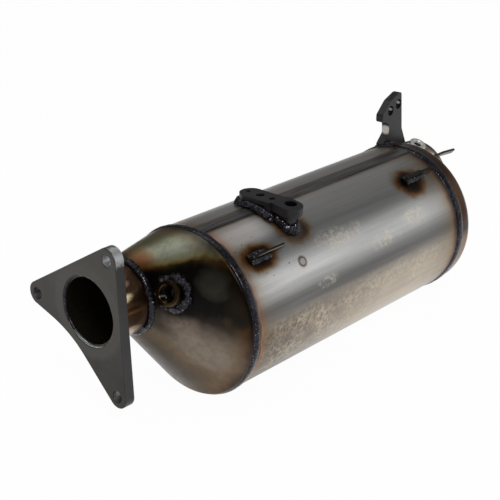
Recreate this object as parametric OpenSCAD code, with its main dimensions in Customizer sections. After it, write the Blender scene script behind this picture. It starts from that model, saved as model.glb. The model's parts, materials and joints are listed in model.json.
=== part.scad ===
// Diesel particulate filter: a wall-flow filter canned between two eccentric cones.
// Millimetres. Origin in the middle of the inlet flange's front face,
// +X along the gas flow, +Z up. Clock angles run from +Y towards +Z.

/* [Inlet flange] */
// Thickness of the flange plate
flange_t = 10; // [7:0.5:14]
// Diameter of the three bolt holes
bolt_hole_d = 11; // [8:0.5:13]
// Radius of the flange corners round the bolt holes
flange_corner_r = 11; // [9:0.5:14]
// Distance of the upper bolt hole from the gas axis
upper_bolt_r = 61.5; // [54:0.5:70]
// Clock angle of the upper bolt hole
upper_bolt_clock = 117; // [108:0.5:126]
// Distance of the side bolt hole from the gas axis
side_bolt_r = 68.5; // [58:0.5:76]
// Clock angle of the side bolt hole
side_bolt_clock = -3.5; // [-10:0.5:8]
// Distance of the lower bolt hole from the gas axis
lower_bolt_r = 77; // [66:0.5:86]
// Clock angle of the lower bolt hole
lower_bolt_clock = 244.5; // [240:0.5:254]
// Least width of metal between the gas bore and the flange edge
flange_web = 5.5; // [3:0.5:7]
// Clock angle at which the hollow edge comes nearest the bore
hollow_clock = -48; // [-56:0.5:-42]
// Radius of the rounding in the middle of the hollow edge
hollow_r = 100; // [40:5:120]

/* [Gas pipes] */
// Outer diameter of both gas pipes
pipe_d = 65; // [58:0.5:68]
// Wall thickness of both gas pipes
pipe_wall = 2; // [1.5:0.1:3]
// Free length of the inlet pipe between flange and cone
inlet_pipe_len = 34; // [25:1:60]
// Depth of the inlet pipe's end behind the flange face
pipe_recess = 2.5; // [2:0.5:4]
// Length of pipe that reaches into each cone
pipe_insert = 6; // [4:0.5:9]
// Free length of the outlet pipe behind its cone
outlet_pipe_len = 17; // [14:1:40]
// Clearance between parts that slip into each other
fit = 0.15; // [0.05:0.05:0.3]

/* [Outlet joint ring] */
// Width of the joint ring
joint_w = 8; // [6:0.5:12]
// Height of the joint ring over the pipe
joint_h = 5; // [4:0.5:8]
// Length of the ring's cone-shaped front
joint_bevel = 3; // [1:0.5:5]

/* [Barrel] */
// Outer diameter of the barrel
barrel_d = 155; // [146:1:180]
// Length of the barrel between the two rim welds
barrel_len = 308; // [290:1:380]
// Wall thickness of the barrel
barrel_wall = 1.5; // [1:0.1:2.5]
// Clock angle of the barrel's long seam
seam_clock = 95.5; // [84:0.5:100]
// Width of the seam
seam_w = 12; // [6:0.5:18]
// Height of the seam over the barrel
seam_h = 0.6; // [0.3:0.1:1]

/* [Inlet cone] */
// Wall thickness of both cones
cone_wall = 2; // [1.5:0.1:3]
// Length of the inlet cone from rim weld to neck
inlet_cone_len = 40; // [32:1:60]
// Straight lip of the inlet cone
inlet_lip = 1; // [1:0.5:8]
// Radius of the inlet cone's shoulder
inlet_round_r = 3.5; // [3.5:0.5:12]
// Step from the barrel's side in to the inlet neck
inlet_edge = 1.3; // [0.2:0.1:10]
// Clock angle of the inlet neck round the barrel
inlet_clock = 24.3; // [10:0.1:40]

/* [Outlet cone] */
// Length of the outlet cone from rim weld to neck
outlet_cone_len = 56; // [50:1:80]
// Straight lip of the outlet cone
outlet_lip = 16; // [5:0.5:18]
// Radius of the outlet cone's shoulder
outlet_round_r = 10; // [6:0.5:14]
// Step from the barrel's side in to the outlet neck
outlet_edge = 7.5; // [2:0.5:10]
// Clock angle of the outlet neck round the barrel
outlet_clock = 45; // [40:1:56]

/* [Sensor bosses] */
// Outer diameter of the inlet boss
inlet_boss_d = 23; // [18:0.5:24]
// Core diameter of the inlet boss's thread
inlet_boss_bore_d = 12.5; // [8:0.5:14]
// Height of the inlet boss over the cone
inlet_boss_rise = 12; // [8:0.5:16]
// Clock angle of the inlet boss round the barrel
inlet_boss_clock = 154.5; // [140:0.5:170]
// Place of the inlet boss on the cone, 0 at the neck and 1 at the shoulder
inlet_boss_reach = 0.26; // [0.26:0.02:0.5]
// Clock angle of the inlet boss's own axis
inlet_boss_lean = 121; // [115:1:140]
// Tilt of the inlet boss's own axis towards the inlet
inlet_boss_tilt = 66; // [60:1:70]
// Depth of the inlet boss under the cone's outer face
inlet_boss_seat = 7; // [6:0.5:9]
// Outer diameter of the outlet boss
outlet_boss_d = 18; // [16:0.5:20]
// Core diameter of the outlet boss's thread
outlet_boss_bore_d = 8; // [6:0.5:12]
// Height of the outlet boss over the cone
outlet_boss_rise = 6; // [6:0.5:12]
// Clock angle of the outlet boss's place round the barrel
outlet_boss_clock = 97; // [92:0.5:106]
// Place of the outlet boss on the cone, 0 at the neck and 1 at the shoulder
outlet_boss_reach = 0.45; // [0.4:0.01:0.6]
// Clock angle of the outlet boss's own axis
outlet_boss_lean = 115; // [105:1:120]
// Depth of the outlet boss under the cone's outer face
outlet_boss_seat = 9; // [8:0.5:12]
// Chamfer on the bosses' rims and mouths
boss_chamfer = 1; // [0.5:0.1:1.5]

/* [Front bracket] */
// Distance of the bracket's middle from the front rim weld
bracket_x = 83; // [80:1:120]
// Width of the bracket along the barrel
bracket_w = 22; // [18:0.5:28]
// Height of the bracket's top over the barrel's crown
bracket_rise = 11; // [10:0.5:16]
// Reach of the rounded end past the barrel's middle, on the +Y side
bracket_end = 14; // [12:0.5:20]
// Reach of the flat top past the barrel's middle, on the -Y side
bracket_bend = 28; // [27:0.5:34]
// Distance of the eye from the end of the flat top
eye_reach = 14; // [10:0.5:18]
// Shift of the eye along the barrel
eye_shift = 2.5; // [0:0.5:6]
// Slope of the eye end
eye_slope = 7; // [4:1:15]
// Outer diameter of the eye
eye_d = 22; // [20:0.5:28]
// Shift of the hole from the eye's middle, along the barrel
eye_hole_shift = 2; // [0:0.5:3]
// Shift of the hole from the eye's middle, towards the flat top
eye_hole_in = 2; // [0:0.5:3]
// Diameter of the hole in the eye
eye_hole_d = 11.5; // [8:0.5:13]
// Depth of the hole in the eye
eye_hole_depth = 7; // [5:0.5:7]
// Thickness of the eye's plate
eye_t = 8; // [7.5:0.5:10]
// Width of the post under the eye's plate
eye_post_w = 16.5; // [15:0.5:18]
// Distance of the post's round end inside the eye's
eye_post_in = 2; // [0:0.5:4]
// Diameter of the hole near the rounded end
end_hole_d = 4.5; // [3:0.5:6]
// Place of the hole near the rounded end, on the +Y side
end_hole_y = 7; // [6:0.2:9]
// Diameter of the middle hole
mid_hole_d = 8; // [5:0.5:9]
// Place of the middle hole, on the -Y side
mid_hole_y = 7.8; // [5:0.2:10]
// Diameter of the hole near the eye
bend_hole_d = 6; // [4:0.5:7]
// Place of the hole near the eye, on the -Y side
bend_hole_y = 21.8; // [19:0.2:23]
// Depth of the three small holes
top_hole_depth = 7; // [5:0.5:8]
// Depth of the step in the bracket's front face
bracket_step = 2.5; // [1:0.5:4]
// Height of the edge left over that step
bracket_brow = 4.5; // [3:0.5:6]

/* [Rear bracket] */
// Thickness of the plate
plate_t = 8; // [5:0.5:10]
// Distance of the plate's datum from the rear rim weld
plate_x = 30; // [29:1:34]
// Distance of the plate's near face from the barrel's middle
plate_y = 28; // [24:1:30]
// Angle of the plate to the barrel's axis
plate_turn = 5; // [0:1:8]
// Height of the tip over the barrel's crown
plate_tip_h = 46.5; // [42:0.5:54]
// Distance of the tip behind the datum
plate_tip = 9.5; // [6:0.5:14]
// Reach of the nose ahead of the datum
plate_nose = 27.5; // [25:0.5:32]
// Height of the nose's upper corner over the barrel's crown
plate_nose_h = 29; // [27:0.5:32]
// Reach of the brow ahead of the datum, between tip and nose
plate_brow = 13; // [10:0.5:15]
// Height of the brow over the barrel's crown
plate_brow_h = 41; // [39:0.5:42]
// Height of the nose's front edge
plate_nose_edge = 7.5; // [6:0.5:9]
// Height of the notch's floor over the barrel's crown
notch_floor = 6; // [4:0.5:8]
// Height of the notch
notch_h = 11; // [8:0.5:13]
// Width of the plate ahead of the datum, beside the notch
plate_neck = 15; // [13:0.5:17]
// Reach of the foot ahead of the datum
plate_foot = 25; // [22:0.5:25]
// Reach of the foot behind the datum
plate_heel = 23; // [20:0.5:26]
// Width of the plate behind the datum, above the heel
plate_back = 13.5; // [12:0.5:16]
// Diameter of the two holes
plate_hole_d = 10.5; // [8:0.5:11]
// Distance of the front hole ahead of the datum
front_hole = 11.5; // [10.5:0.5:13]
// Height of the front hole over the barrel's crown
front_hole_h = 30.5; // [29:0.5:32]
// Distance of the rear hole behind the datum
rear_hole = 4; // [3:0.5:5]
// Height of the rear hole over the barrel's crown
rear_hole_h = 34.5; // [33:0.5:36]
// Radius of the plate's outer corners
plate_round = 3; // [1:0.5:3.5]

/* [Heat shield tabs] */
// Thickness of the three tabs
tab_t = 2.5; // [1.5:0.5:4]
// Height of the three tabs
tab_h = 7; // [5:0.5:10]
// Gap under the free ends
tab_lift = 1.6; // [1:0.2:3]
// Length of the free ends
tab_free = 15; // [10:1:20]
// Distance of the front tab from the front rim weld
front_tab_x = 20; // [12:1:26]
// Length of the front tab
front_tab_len = 41; // [36:1:44]
// Clock angle of the front tab
front_tab_clock = 132.5; // [128:0.5:140]
// Distance of the rear tab's free end from the rear rim weld
rear_tab_x = 7; // [6:1:20]
// Length of the rear tab
rear_tab_len = 45; // [40:1:60]
// Clock angle of the rear tab
rear_tab_clock = 124; // [118:0.5:132]
// Clock angle of the outlet tab round the outlet pipe
outlet_tab_clock = 135; // [128:1:142]
// Reach of the outlet tab past the joint ring
outlet_tab_reach = 28; // [15:1:35]
// Drop of the outlet tab's tip under its straight part
outlet_tab_dip = 6; // [0:0.5:8]
// Gap between the outlet tab and the joint ring
outlet_tab_gap = 0.6; // [0.3:0.1:1.5]

/* [Welds] */
// Width of the two rim beads
rim_bead_w = 6.5; // [5:0.5:8]
// Height of the two rim beads
rim_bead_h = 1.4; // [1:0.2:2.6]
// Leg of the fillets round the pipes
pipe_leg = 4; // [3:0.5:5]
// Leg of the seal bead in the inlet mouth
mouth_leg = 1.6; // [1:0.2:1.8]
// Leg of the fillet round the inlet boss
inlet_boss_leg = 6; // [3:0.5:6.5]
// Leg of the fillet round the outlet boss
outlet_boss_leg = 4; // [3:0.5:5]
// Leg of the fillets round both brackets' feet
bracket_leg = 2.5; // [2:0.5:5]
// Leg of the fillets beside the tabs
tab_leg = 3.5; // [3:0.5:6]

/* [Filter] */
// Length of the filter
filter_len = 254; // [200:2:270]
// Pitch of the channels
cell_pitch = 9; // [8:0.5:12]
// Thickness of the walls between channels
cell_wall = 2.2; // [1.5:0.1:3]
// Depth of the plugs at the closed ends
plug_depth = 12; // [6:1:20]
// Least thickness of the filter's skin
filter_skin = 1.5; // [1:0.1:3]
// Thickness of the support mat
mat_t = 4; // [3:0.5:6]
// Length of each retaining ring
retainer_len = 6; // [4:0.5:10]

/* [Hidden] */

// Fineness of curved faces
$fa = 3;
$fs = 0.5;

// Overrun that lets a cutting form pass clean through
over = 1;
// Facets round the barrel, round the pressed cones and round their shoulders
barrel_fn = 240;
cone_fn = 72;
round_fn = 24;
// Height of the flange's rounds over its straight edges, so that the two cross cleanly
round_proud = 0.05;
// Turn that keeps the start of a ring between two facets of a cone
half_facet = 180 / cone_fn;
// Steps in each rounded corner of an outline
corner_steps = 8;
// Width and height shares of the upper layer in a stepped fillet
fillet_step = 0.5;

pipe_r = pipe_d / 2;
bore_r = pipe_r + fit;
neck_r = bore_r + cone_wall;
barrel_r = barrel_d / 2;
shell_r = barrel_r - barrel_wall;
filter_r = shell_r - mat_t;

inlet_offset = barrel_r - neck_r - inlet_edge;
outlet_offset = barrel_r - neck_r - outlet_edge;
axis_y = -inlet_offset * cos(inlet_clock);
axis_z = -inlet_offset * sin(inlet_clock);

neck_x = flange_t + inlet_pipe_len;
front_x = neck_x + inlet_cone_len;
rear_x = front_x + barrel_len;
outlet_neck_x = rear_x + outlet_cone_len;
outlet_end_x = outlet_neck_x + outlet_pipe_len;
joint_x = outlet_end_x - joint_w;
joint_r = bore_r + joint_h;
outlet_y = axis_y + outlet_offset * cos(outlet_clock);
outlet_z = axis_z + outlet_offset * sin(outlet_clock);

filter_x = front_x + (barrel_len - filter_len) / 2;
mat_x = filter_x + retainer_len;
mat_len = filter_len - 2 * retainer_len;
cell_w = cell_pitch - cell_wall;
cell_count = ceil(filter_r / cell_pitch);

inlet_boss_r = inlet_boss_d / 2;
outlet_boss_r = outlet_boss_d / 2;
eye_r = eye_d / 2;
post_r = eye_post_w / 2;
bracket_r = bracket_w / 2;
rear_tab_start = barrel_len - rear_tab_x - rear_tab_len;

// A cone is given as offset, length, lip and shoulder radius.
inlet_form = [inlet_offset, inlet_cone_len, inlet_lip, inlet_round_r];
outlet_form = [outlet_offset, outlet_cone_len, outlet_lip, outlet_round_r];

function polar(r, a) = [r * cos(a), r * sin(a)];
function unit(v) = v / norm(v);
function right_of(v) = [v[1], -v[0]];
function turned(v, a) = [v[0] * cos(a) - v[1] * sin(a), v[0] * sin(a) + v[1] * cos(a)];

// Point where a line from p touches the circle at c, on the side given by the sign
function touch(p, c, r, side) =
  p + sqrt(pow(norm(c - p), 2) - r * r) * turned(unit(c - p), side * asin(r / norm(c - p)));

// Arc that rounds the corner b between a and c with radius r
function corner(a, b, c, r) =
  let (u = unit(a - b), v = unit(c - b), half = acos(u * v) / 2)
  let (mid = b + unit(u + v) * r / sin(half))
  let (p = b + u * r / tan(half) - mid, q = b + v * r / tan(half) - mid)
  let (from = atan2(p[1], p[0]), sweep = atan2(p[0] * q[1] - p[1] * q[0], p * q))
  [for (i = [0 : corner_steps]) mid + polar(r, from + sweep * i / corner_steps)];

// Outline through points given as x, y and corner radius
function rounded(pts) =
  let (n = len(pts), xy = [for (p = pts) [p[0], p[1]]])
  [for (i = [0 : n - 1])
    each (pts[i][2] > 0
      ? corner(xy[(i + n - 1) % n], xy[i], xy[(i + 1) % n], pts[i][2])
      : [xy[i]])];

// Rise and run of a cone's straight side at angle a from its offset
function cone_rise(c, a) = barrel_r - c[3] - c[0] * cos(a) - neck_r;
function cone_run(c) = c[1] - c[2];
function cone_tilt(c, a) =
  atan2(cone_rise(c, a), cone_run(c)) + asin(c[3] / norm([cone_rise(c, a), cone_run(c)]));

// Point on a cone's straight side, from neck (t = 0) to shoulder (t = 1)
function neck_point(c, a) = [-c[1], c[0] + neck_r * cos(a), neck_r * sin(a)];
function shoulder_point(c, a) =
  let (tilt = cone_tilt(c, a), r = barrel_r - c[3] + c[3] * cos(tilt))
  [-c[2] - c[3] * sin(tilt), r * cos(a), r * sin(a)];
function cone_point(c, a, t) = (1 - t) * neck_point(c, a) + t * shoulder_point(c, a);

// Sends +Z to +X, so that an outline in x, y lands in Y, Z
module facing_x(x) {
  translate([x, 0, 0])
    rotate([90, 0, 90])
      children();
}

module on_barrel_axis() {
  translate([0, axis_y, axis_z])
    children();
}

module on_outlet_axis() {
  translate([0, outlet_y, outlet_z])
    children();
}

// Frames of the two cones: rim in the plane x = 0, neck towards -X, offset towards +Y
module at_inlet_cone() {
  translate([front_x, axis_y, axis_z])
    rotate([inlet_clock, 0, 0])
      children();
}

module at_outlet_cone() {
  translate([rear_x, axis_y, axis_z])
    rotate([outlet_clock, 0, 0])
      mirror([1, 0, 0])
        children();
}

// Seat on a cone with +Z along the cone's normal
module on_cone(c, a, t) {
  translate(cone_point(c, a, t))
    rotate([a, 0, 0])
      rotate([0, 0, cone_tilt(c, a)])
        rotate([-90, 0, 0])
          children();
}

// Seat on a cone with +Z turned to the angle lean and tilted towards the neck
module leaning_on_cone(c, a, t, lean, tilt) {
  translate(cone_point(c, a, t))
    rotate([lean, 0, 0])
      rotate([0, 0, tilt])
        rotate([-90, 0, 0])
          children();
}

module at_inlet_boss() {
  at_inlet_cone()
    leaning_on_cone(inlet_form, inlet_boss_clock - inlet_clock, inlet_boss_reach,
      inlet_boss_lean - inlet_clock, inlet_boss_tilt)
      children();
}

module at_outlet_boss() {
  at_outlet_cone()
    leaning_on_cone(outlet_form, outlet_boss_clock - outlet_clock, outlet_boss_reach,
      outlet_boss_lean - outlet_clock, 0)
      children();
}

// Frame on the barrel's axis with +Z pointing out at a clock angle
module round_barrel(x, clock) {
  translate([x, axis_y, axis_z])
    rotate([clock - 90, 0, 0])
      children();
}

module rod(x0, x1, r) {
  facing_x(x0)
    cylinder(h = x1 - x0, r = r);
}

module tube(x0, x1, r_out, r_in) {
  difference() {
    rod(x0, x1, r_out);
    rod(x0 - over, x1 + over, r_in);
  }
}

// Half round of a cone's shoulder, on the neck's side of the lip
module shoulder_section(r, inset) {
  intersection() {
    translate([barrel_r - r, 0])
      circle(r = r - inset, $fn = round_fn);
    translate([0, -r])
      square([barrel_r, r]);
  }
}

// Pressed form of a cone, drawn in by inset on all its faces
module cone_form(c, inset) {
  hull() {
    facing_x(-c[2])
      rotate_extrude($fn = cone_fn)
        shoulder_section(c[3], inset);
    facing_x(-c[2])
      cylinder(h = c[2] + (inset > 0 ? over : 0), r = barrel_r - inset, $fn = cone_fn);
    translate([0, c[0], 0])
      facing_x(inset - c[1])
        cylinder(h = inset > 0 ? over : cone_wall, r = neck_r - inset, $fn = cone_fn);
  }
}

module cone_shell(c) {
  difference() {
    cone_form(c, 0);
    cone_form(c, cone_wall);
    translate([0, c[0], 0])
      rod(-c[1] - over, -c[1] + cone_wall + over, bore_r);
  }
}

// Turned boss with its foot under z = 0
module boss_body(r, bore, rise, seat) {
  rotate_extrude()
    polygon([
      [bore, -seat],
      [r, -seat],
      [r, rise - boss_chamfer],
      [r - boss_chamfer, rise],
      [bore + boss_chamfer, rise],
      [bore, rise - boss_chamfer]
    ]);
}

module boss_plug(r, rise, seat) {
  translate([0, 0, -seat - over])
    cylinder(h = rise + seat + 2 * over, r = r);
}

module fillet_ring(r, leg) {
  rotate_extrude()
    translate([r, 0])
      circle(r = leg);
}

// Low bead on a cylinder of radius r
module bead_section(r, w, h) {
  arc = (w * w / 4 + h * h) / (2 * h);
  difference() {
    translate([r + h - arc, 0])
      circle(r = arc);
    translate([r - 2 * arc, -w])
      square([2 * arc, 2 * w]);
  }
}

module rim_bead(x) {
  on_barrel_axis()
    facing_x(x)
      rotate_extrude()
        bead_section(barrel_r, rim_bead_w, rim_bead_h);
}

module barrel_rod(r) {
  on_barrel_axis()
    rod(front_x, rear_x, r, $fn = barrel_fn);
}

module seam_strip() {
  round_barrel(front_x + rim_bead_w / 2, seam_clock)
    translate([0, -seam_w / 2, 0])
      cube([barrel_len - rim_bead_w, seam_w, barrel_r + seam_h]);
}

module flange_outline() {
  upper = polar(upper_bolt_r, upper_bolt_clock);
  side = polar(side_bolt_r, side_bolt_clock);
  lower = polar(lower_bolt_r, lower_bolt_clock);
  waist = polar(bore_r + flange_web, hollow_clock);
  edge_r = flange_corner_r - round_proud;
  top = right_of(unit(upper - side)) * edge_r;
  back = right_of(unit(lower - upper)) * edge_r;
  from_lower = touch(waist, lower, edge_r, 1);
  to_side = touch(waist, side, edge_r, -1);
  u = unit(from_lower - waist);
  v = unit(to_side - waist);
  half = acos(u * v) / 2;
  run = hollow_r / tan(half);
  difference() {
    union() {
      polygon([
        side + top, upper + top, upper + back, lower + back,
        from_lower, waist + u * run, waist + v * run, to_side
      ]);
      for (c = [upper, side, lower])
        translate(c)
          circle(r = flange_corner_r);
      circle(r = bore_r + flange_web);
    }
    translate(waist + unit(u + v) * hollow_r / sin(half))
      circle(r = hollow_r + round_proud);
    for (c = [upper, side, lower])
      translate(c)
        circle(d = bolt_hole_d);
    circle(r = bore_r);
  }
}

module inlet_flange() {
  color("#4b4744")
    facing_x(0)
      linear_extrude(flange_t)
        flange_outline();
}

module inlet_pipe() {
  color("#9b7f78")
    tube(pipe_recess, neck_x + pipe_insert, pipe_r, pipe_r - pipe_wall);
}

module inlet_flange_weld() {
  color("#2b2a2b")
    facing_x(flange_t)
      rotate_extrude()
        polygon([[pipe_r, 0], [pipe_r + pipe_leg, 0], [pipe_r, pipe_leg]]);
}

module inlet_bore_weld() {
  color("#3a3633")
    facing_x(pipe_recess)
      rotate_extrude()
        polygon([[bore_r - mouth_leg, 0], [bore_r, 0], [bore_r, -mouth_leg]]);
}

module inlet_cone() {
  color("#8d7a5c")
    difference() {
      at_inlet_cone()
        cone_shell(inlet_form);
      at_inlet_boss()
        boss_plug(inlet_boss_r + fit, inlet_boss_rise, inlet_boss_seat);
    }
}

// Fillet between the inlet pipe and the edge of the cone's neck
module inlet_neck_ring() {
  facing_x(neck_x)
    rotate(inlet_clock + half_facet)
      fillet_ring(pipe_r, pipe_leg);
}

module inlet_pipe_weld() {
  color("#2b2a2b")
    difference() {
      inlet_neck_ring();
      rod(neck_x - 2 * pipe_leg, neck_x + 2 * pipe_leg, pipe_r);
      at_inlet_cone()
        cone_form(inlet_form, 0);
    }
}

module inlet_sensor_boss() {
  color("#8a6a48")
    at_inlet_boss()
      boss_body(inlet_boss_r, inlet_boss_bore_d / 2, inlet_boss_rise, inlet_boss_seat);
}

module inlet_boss_weld() {
  color("#33302f")
    difference() {
      at_inlet_cone()
        on_cone(inlet_form, inlet_boss_clock - inlet_clock, inlet_boss_reach)
          fillet_ring(inlet_boss_r, inlet_boss_leg);
      at_inlet_boss()
        boss_plug(inlet_boss_r, inlet_boss_rise, inlet_boss_seat);
      at_inlet_cone()
        cone_form(inlet_form, 0);
      inlet_neck_ring();
      rod(0, neck_x, pipe_r);
    }
}

module barrel() {
  color("#c4c0b8")
    on_barrel_axis()
      tube(front_x, rear_x, barrel_r, shell_r);
}

module barrel_seam() {
  color("#7c736f")
    difference() {
      intersection() {
        seam_strip();
        barrel_rod(barrel_r + seam_h);
      }
      barrel_rod(barrel_r);
    }
}

module front_rim_weld() {
  color("#2b2a2b")
    rim_bead(front_x);
}

module rear_rim_weld() {
  color("#2b2a2b")
    rim_bead(rear_x);
}

module outlet_cone() {
  color("#a18a68")
    difference() {
      at_outlet_cone()
        cone_shell(outlet_form);
      at_outlet_boss()
        boss_plug(outlet_boss_r + fit, outlet_boss_rise, outlet_boss_seat);
    }
}

module outlet_pipe() {
  color("#a58d70")
    on_outlet_axis()
      tube(outlet_neck_x - pipe_insert, outlet_end_x, pipe_r, pipe_r - pipe_wall);
}

module outlet_pipe_weld() {
  color("#2b2a2b")
    difference() {
      on_outlet_axis()
        facing_x(outlet_neck_x)
          rotate(outlet_clock + half_facet)
            fillet_ring(pipe_r, pipe_leg);
      on_outlet_axis()
        rod(rear_x, outlet_end_x, pipe_r);
      at_outlet_cone()
        cone_form(outlet_form, 0);
      plate_blank();
      outlet_tab_blank();
    }
}

module outlet_joint_ring() {
  color("#a98f6c")
    on_outlet_axis()
      facing_x(joint_x)
        rotate_extrude()
          polygon([
            [bore_r, 0],
            [bore_r + joint_h / 2, 0],
            [joint_r, joint_bevel],
            [joint_r, joint_w],
            [bore_r, joint_w]
          ]);
}

module outlet_ring_weld() {
  leg = joint_h / 2;
  color("#2b2a2b")
    on_outlet_axis()
      facing_x(joint_x)
        rotate_extrude()
          polygon([[pipe_r, 0], [pipe_r, -leg], [pipe_r + leg, 0]]);
}

module outlet_sensor_boss() {
  color("#d2c9bb")
    at_outlet_boss()
      boss_body(outlet_boss_r, outlet_boss_bore_d / 2, outlet_boss_rise, outlet_boss_seat);
}

module outlet_boss_weld() {
  color("#33302f")
    difference() {
      at_outlet_cone()
        on_cone(outlet_form, outlet_boss_clock - outlet_clock, outlet_boss_reach)
          fillet_ring(outlet_boss_r, outlet_boss_leg);
      at_outlet_boss()
        boss_plug(outlet_boss_r, outlet_boss_rise, outlet_boss_seat);
      at_outlet_cone()
        cone_form(outlet_form, 0);
    }
}

module at_front_bracket(z) {
  translate([front_x + bracket_x, axis_y, axis_z + z])
    children();
}

// Frame at the end of the flat top, with +Z square to the sloped eye end
module at_eye_slope() {
  at_front_bracket(barrel_r + bracket_rise)
    translate([0, -bracket_bend, 0])
      rotate([eye_slope, 0, 0])
        children();
}

// Plan of the flat-topped part, widened by grow
module bracket_plan(grow) {
  translate([0, bracket_end - bracket_r])
    circle(r = bracket_r + grow);
  translate([-bracket_r - grow, -bracket_bend - grow])
    square([bracket_w + 2 * grow, bracket_bend + bracket_end - bracket_r + grow]);
}

// Plan of the sloped part with a round end of radius r at the given reach, widened by grow
module eye_plan(reach, r, grow) {
  translate([eye_shift, -reach])
    circle(r = r + grow);
  translate([eye_shift - r - grow, -reach])
    square([2 * (r + grow), reach + grow]);
}

// Solid foot of the bracket down to the barrel's axis, widened by grow
module bracket_foot(grow) {
  at_front_bracket(0)
    linear_extrude(barrel_r + bracket_rise)
      bracket_plan(grow);
  at_eye_slope()
    translate([0, 0, -barrel_r])
      linear_extrude(barrel_r)
        eye_plan(eye_reach - eye_post_in, post_r, grow);
}

module front_bracket() {
  top = barrel_r + bracket_rise;
  color("#2d2a2e")
    difference() {
      union() {
        bracket_foot(0);
        at_eye_slope()
          translate([0, 0, -eye_t])
            linear_extrude(eye_t)
              eye_plan(eye_reach, eye_r, 0);
      }
      barrel_rod(barrel_r);
      intersection() {
        seam_strip();
        barrel_rod(barrel_r + seam_h);
      }
      at_eye_slope()
        translate([eye_shift + eye_hole_shift, eye_hole_in - eye_reach, -eye_hole_depth])
          cylinder(h = eye_hole_depth + over, d = eye_hole_d);
      at_front_bracket(top - top_hole_depth) {
        translate([0, end_hole_y, 0])
          cylinder(h = top_hole_depth + over, d = end_hole_d);
        translate([0, -mid_hole_y, 0])
          cylinder(h = top_hole_depth + over, d = mid_hole_d);
        translate([0, -bend_hole_y, 0])
          cylinder(h = top_hole_depth + over, d = bend_hole_d);
      }
      at_front_bracket(barrel_r / 2)
        translate([-bracket_r - over, -bend_hole_y, 0])
          cube([bracket_step + over, bend_hole_y + bracket_end, top - bracket_brow - barrel_r / 2]);
    }
}

module front_bracket_weld() {
  color("#232124")
    difference() {
      union() {
        intersection() {
          bracket_foot(bracket_leg);
          barrel_rod(barrel_r + bracket_leg * fillet_step);
        }
        intersection() {
          bracket_foot(bracket_leg * fillet_step);
          barrel_rod(barrel_r + bracket_leg);
        }
      }
      barrel_rod(barrel_r);
      bracket_foot(0);
      intersection() {
        seam_strip();
        barrel_rod(barrel_r + seam_h);
      }
    }
}

// Frame of the rear bracket: outline in x, y lands in the plate's own length and height
module at_plate(t) {
  translate([rear_x + plate_x, axis_y + plate_y, axis_z])
    rotate([0, 0, plate_turn])
      translate([0, (plate_t + t) / 2, 0])
        rotate([90, 0, 0])
          linear_extrude(t)
            children();
}

module plate_outline() {
  crown = barrel_r;
  polygon(rounded([
    [-plate_foot, 0, 0],
    [plate_heel, 0, 0],
    [plate_heel, crown - notch_floor * 2, 0],
    [plate_back, crown + notch_floor, plate_round * 3],
    [plate_tip, crown + plate_tip_h, plate_round],
    [plate_tip - plate_round * 2, crown + plate_tip_h, plate_round],
    [-plate_brow, crown + plate_brow_h, plate_round],
    [-plate_nose, crown + plate_nose_h, plate_round],
    [-plate_nose, crown + plate_nose_h - plate_nose_edge, plate_round],
    [-plate_neck, crown + notch_floor + notch_h, plate_round],
    [-plate_neck, crown + notch_floor, plate_round],
    [-plate_foot, crown - notch_floor / 2, 0]
  ]));
}

// Plate without holes, down to the barrel's axis
module plate_blank() {
  at_plate(plate_t)
    plate_outline();
}

module rear_bracket() {
  color("#2d2a2e")
    difference() {
      at_plate(plate_t)
        difference() {
          plate_outline();
          translate([-front_hole, barrel_r + front_hole_h])
            circle(d = plate_hole_d);
          translate([rear_hole, barrel_r + rear_hole_h])
            circle(d = plate_hole_d);
        }
      at_outlet_cone()
        cone_form(outlet_form, 0);
      on_outlet_axis()
        rod(rear_x, outlet_end_x, pipe_r);
    }
}

// Outlet cone lifted by h, to bound the height of a fillet layer
module outlet_cone_raised(h) {
  translate([0, 0, h])
    at_outlet_cone()
      cone_form(outlet_form, 0);
}

module rear_bracket_weld() {
  color("#232124")
    difference() {
      union() {
        intersection() {
          at_plate(plate_t + 2 * bracket_leg)
            plate_outline();
          outlet_cone_raised(bracket_leg * fillet_step);
        }
        intersection() {
          at_plate(plate_t + 2 * bracket_leg * fillet_step)
            plate_outline();
          outlet_cone_raised(bracket_leg);
        }
      }
      at_outlet_cone()
        cone_form(outlet_form, 0);
      plate_blank();
      rear_rim_weld();
    }
}

// Side view of a tab of a given length whose far end is free
module tab_outline(len, foot) {
  polygon(rounded([
    [0, -foot, 0],
    [len - tab_free - tab_lift, -foot, 0],
    [len - tab_free - tab_lift, 0, 0],
    [len - tab_free, tab_lift, 0],
    [len, tab_lift, 0],
    [len, tab_h, tab_lift],
    [0, tab_h, tab_lift]
  ]));
}

module upright(t) {
  translate([0, t / 2, 0])
    rotate([90, 0, 0])
      linear_extrude(t)
        children();
}

module barrel_tab(x, len, clock) {
  difference() {
    round_barrel(front_x + x, clock)
      translate([0, 0, barrel_r])
        upright(tab_t)
          tab_outline(len, tab_h);
    barrel_rod(barrel_r);
  }
}

// Fillets along both sides of a tab's fixed part
module tab_fillets(len, foot) {
  rotate([90, 0, 90])
    linear_extrude(len)
      polygon([
        [-tab_t / 2 - tab_leg, -foot],
        [tab_t / 2 + tab_leg, -foot],
        [tab_t / 2 + tab_leg, 0],
        [tab_t / 2, tab_leg],
        [-tab_t / 2, tab_leg],
        [-tab_t / 2 - tab_leg, 0]
      ]);
}

module barrel_tab_weld(x, len, clock) {
  fixed = len - tab_free - tab_lift;
  difference() {
    round_barrel(front_x + x, clock)
      translate([0, 0, barrel_r])
        tab_fillets(fixed, tab_h);
    barrel_rod(barrel_r);
    round_barrel(front_x + x - over, clock)
      translate([0, -tab_t / 2, 0])
        cube([fixed + 2 * over, tab_t, barrel_r + 2 * tab_h]);
  }
}

module front_shield_tab() {
  color("#4a4446")
    barrel_tab(front_tab_x, front_tab_len, front_tab_clock);
}

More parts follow.
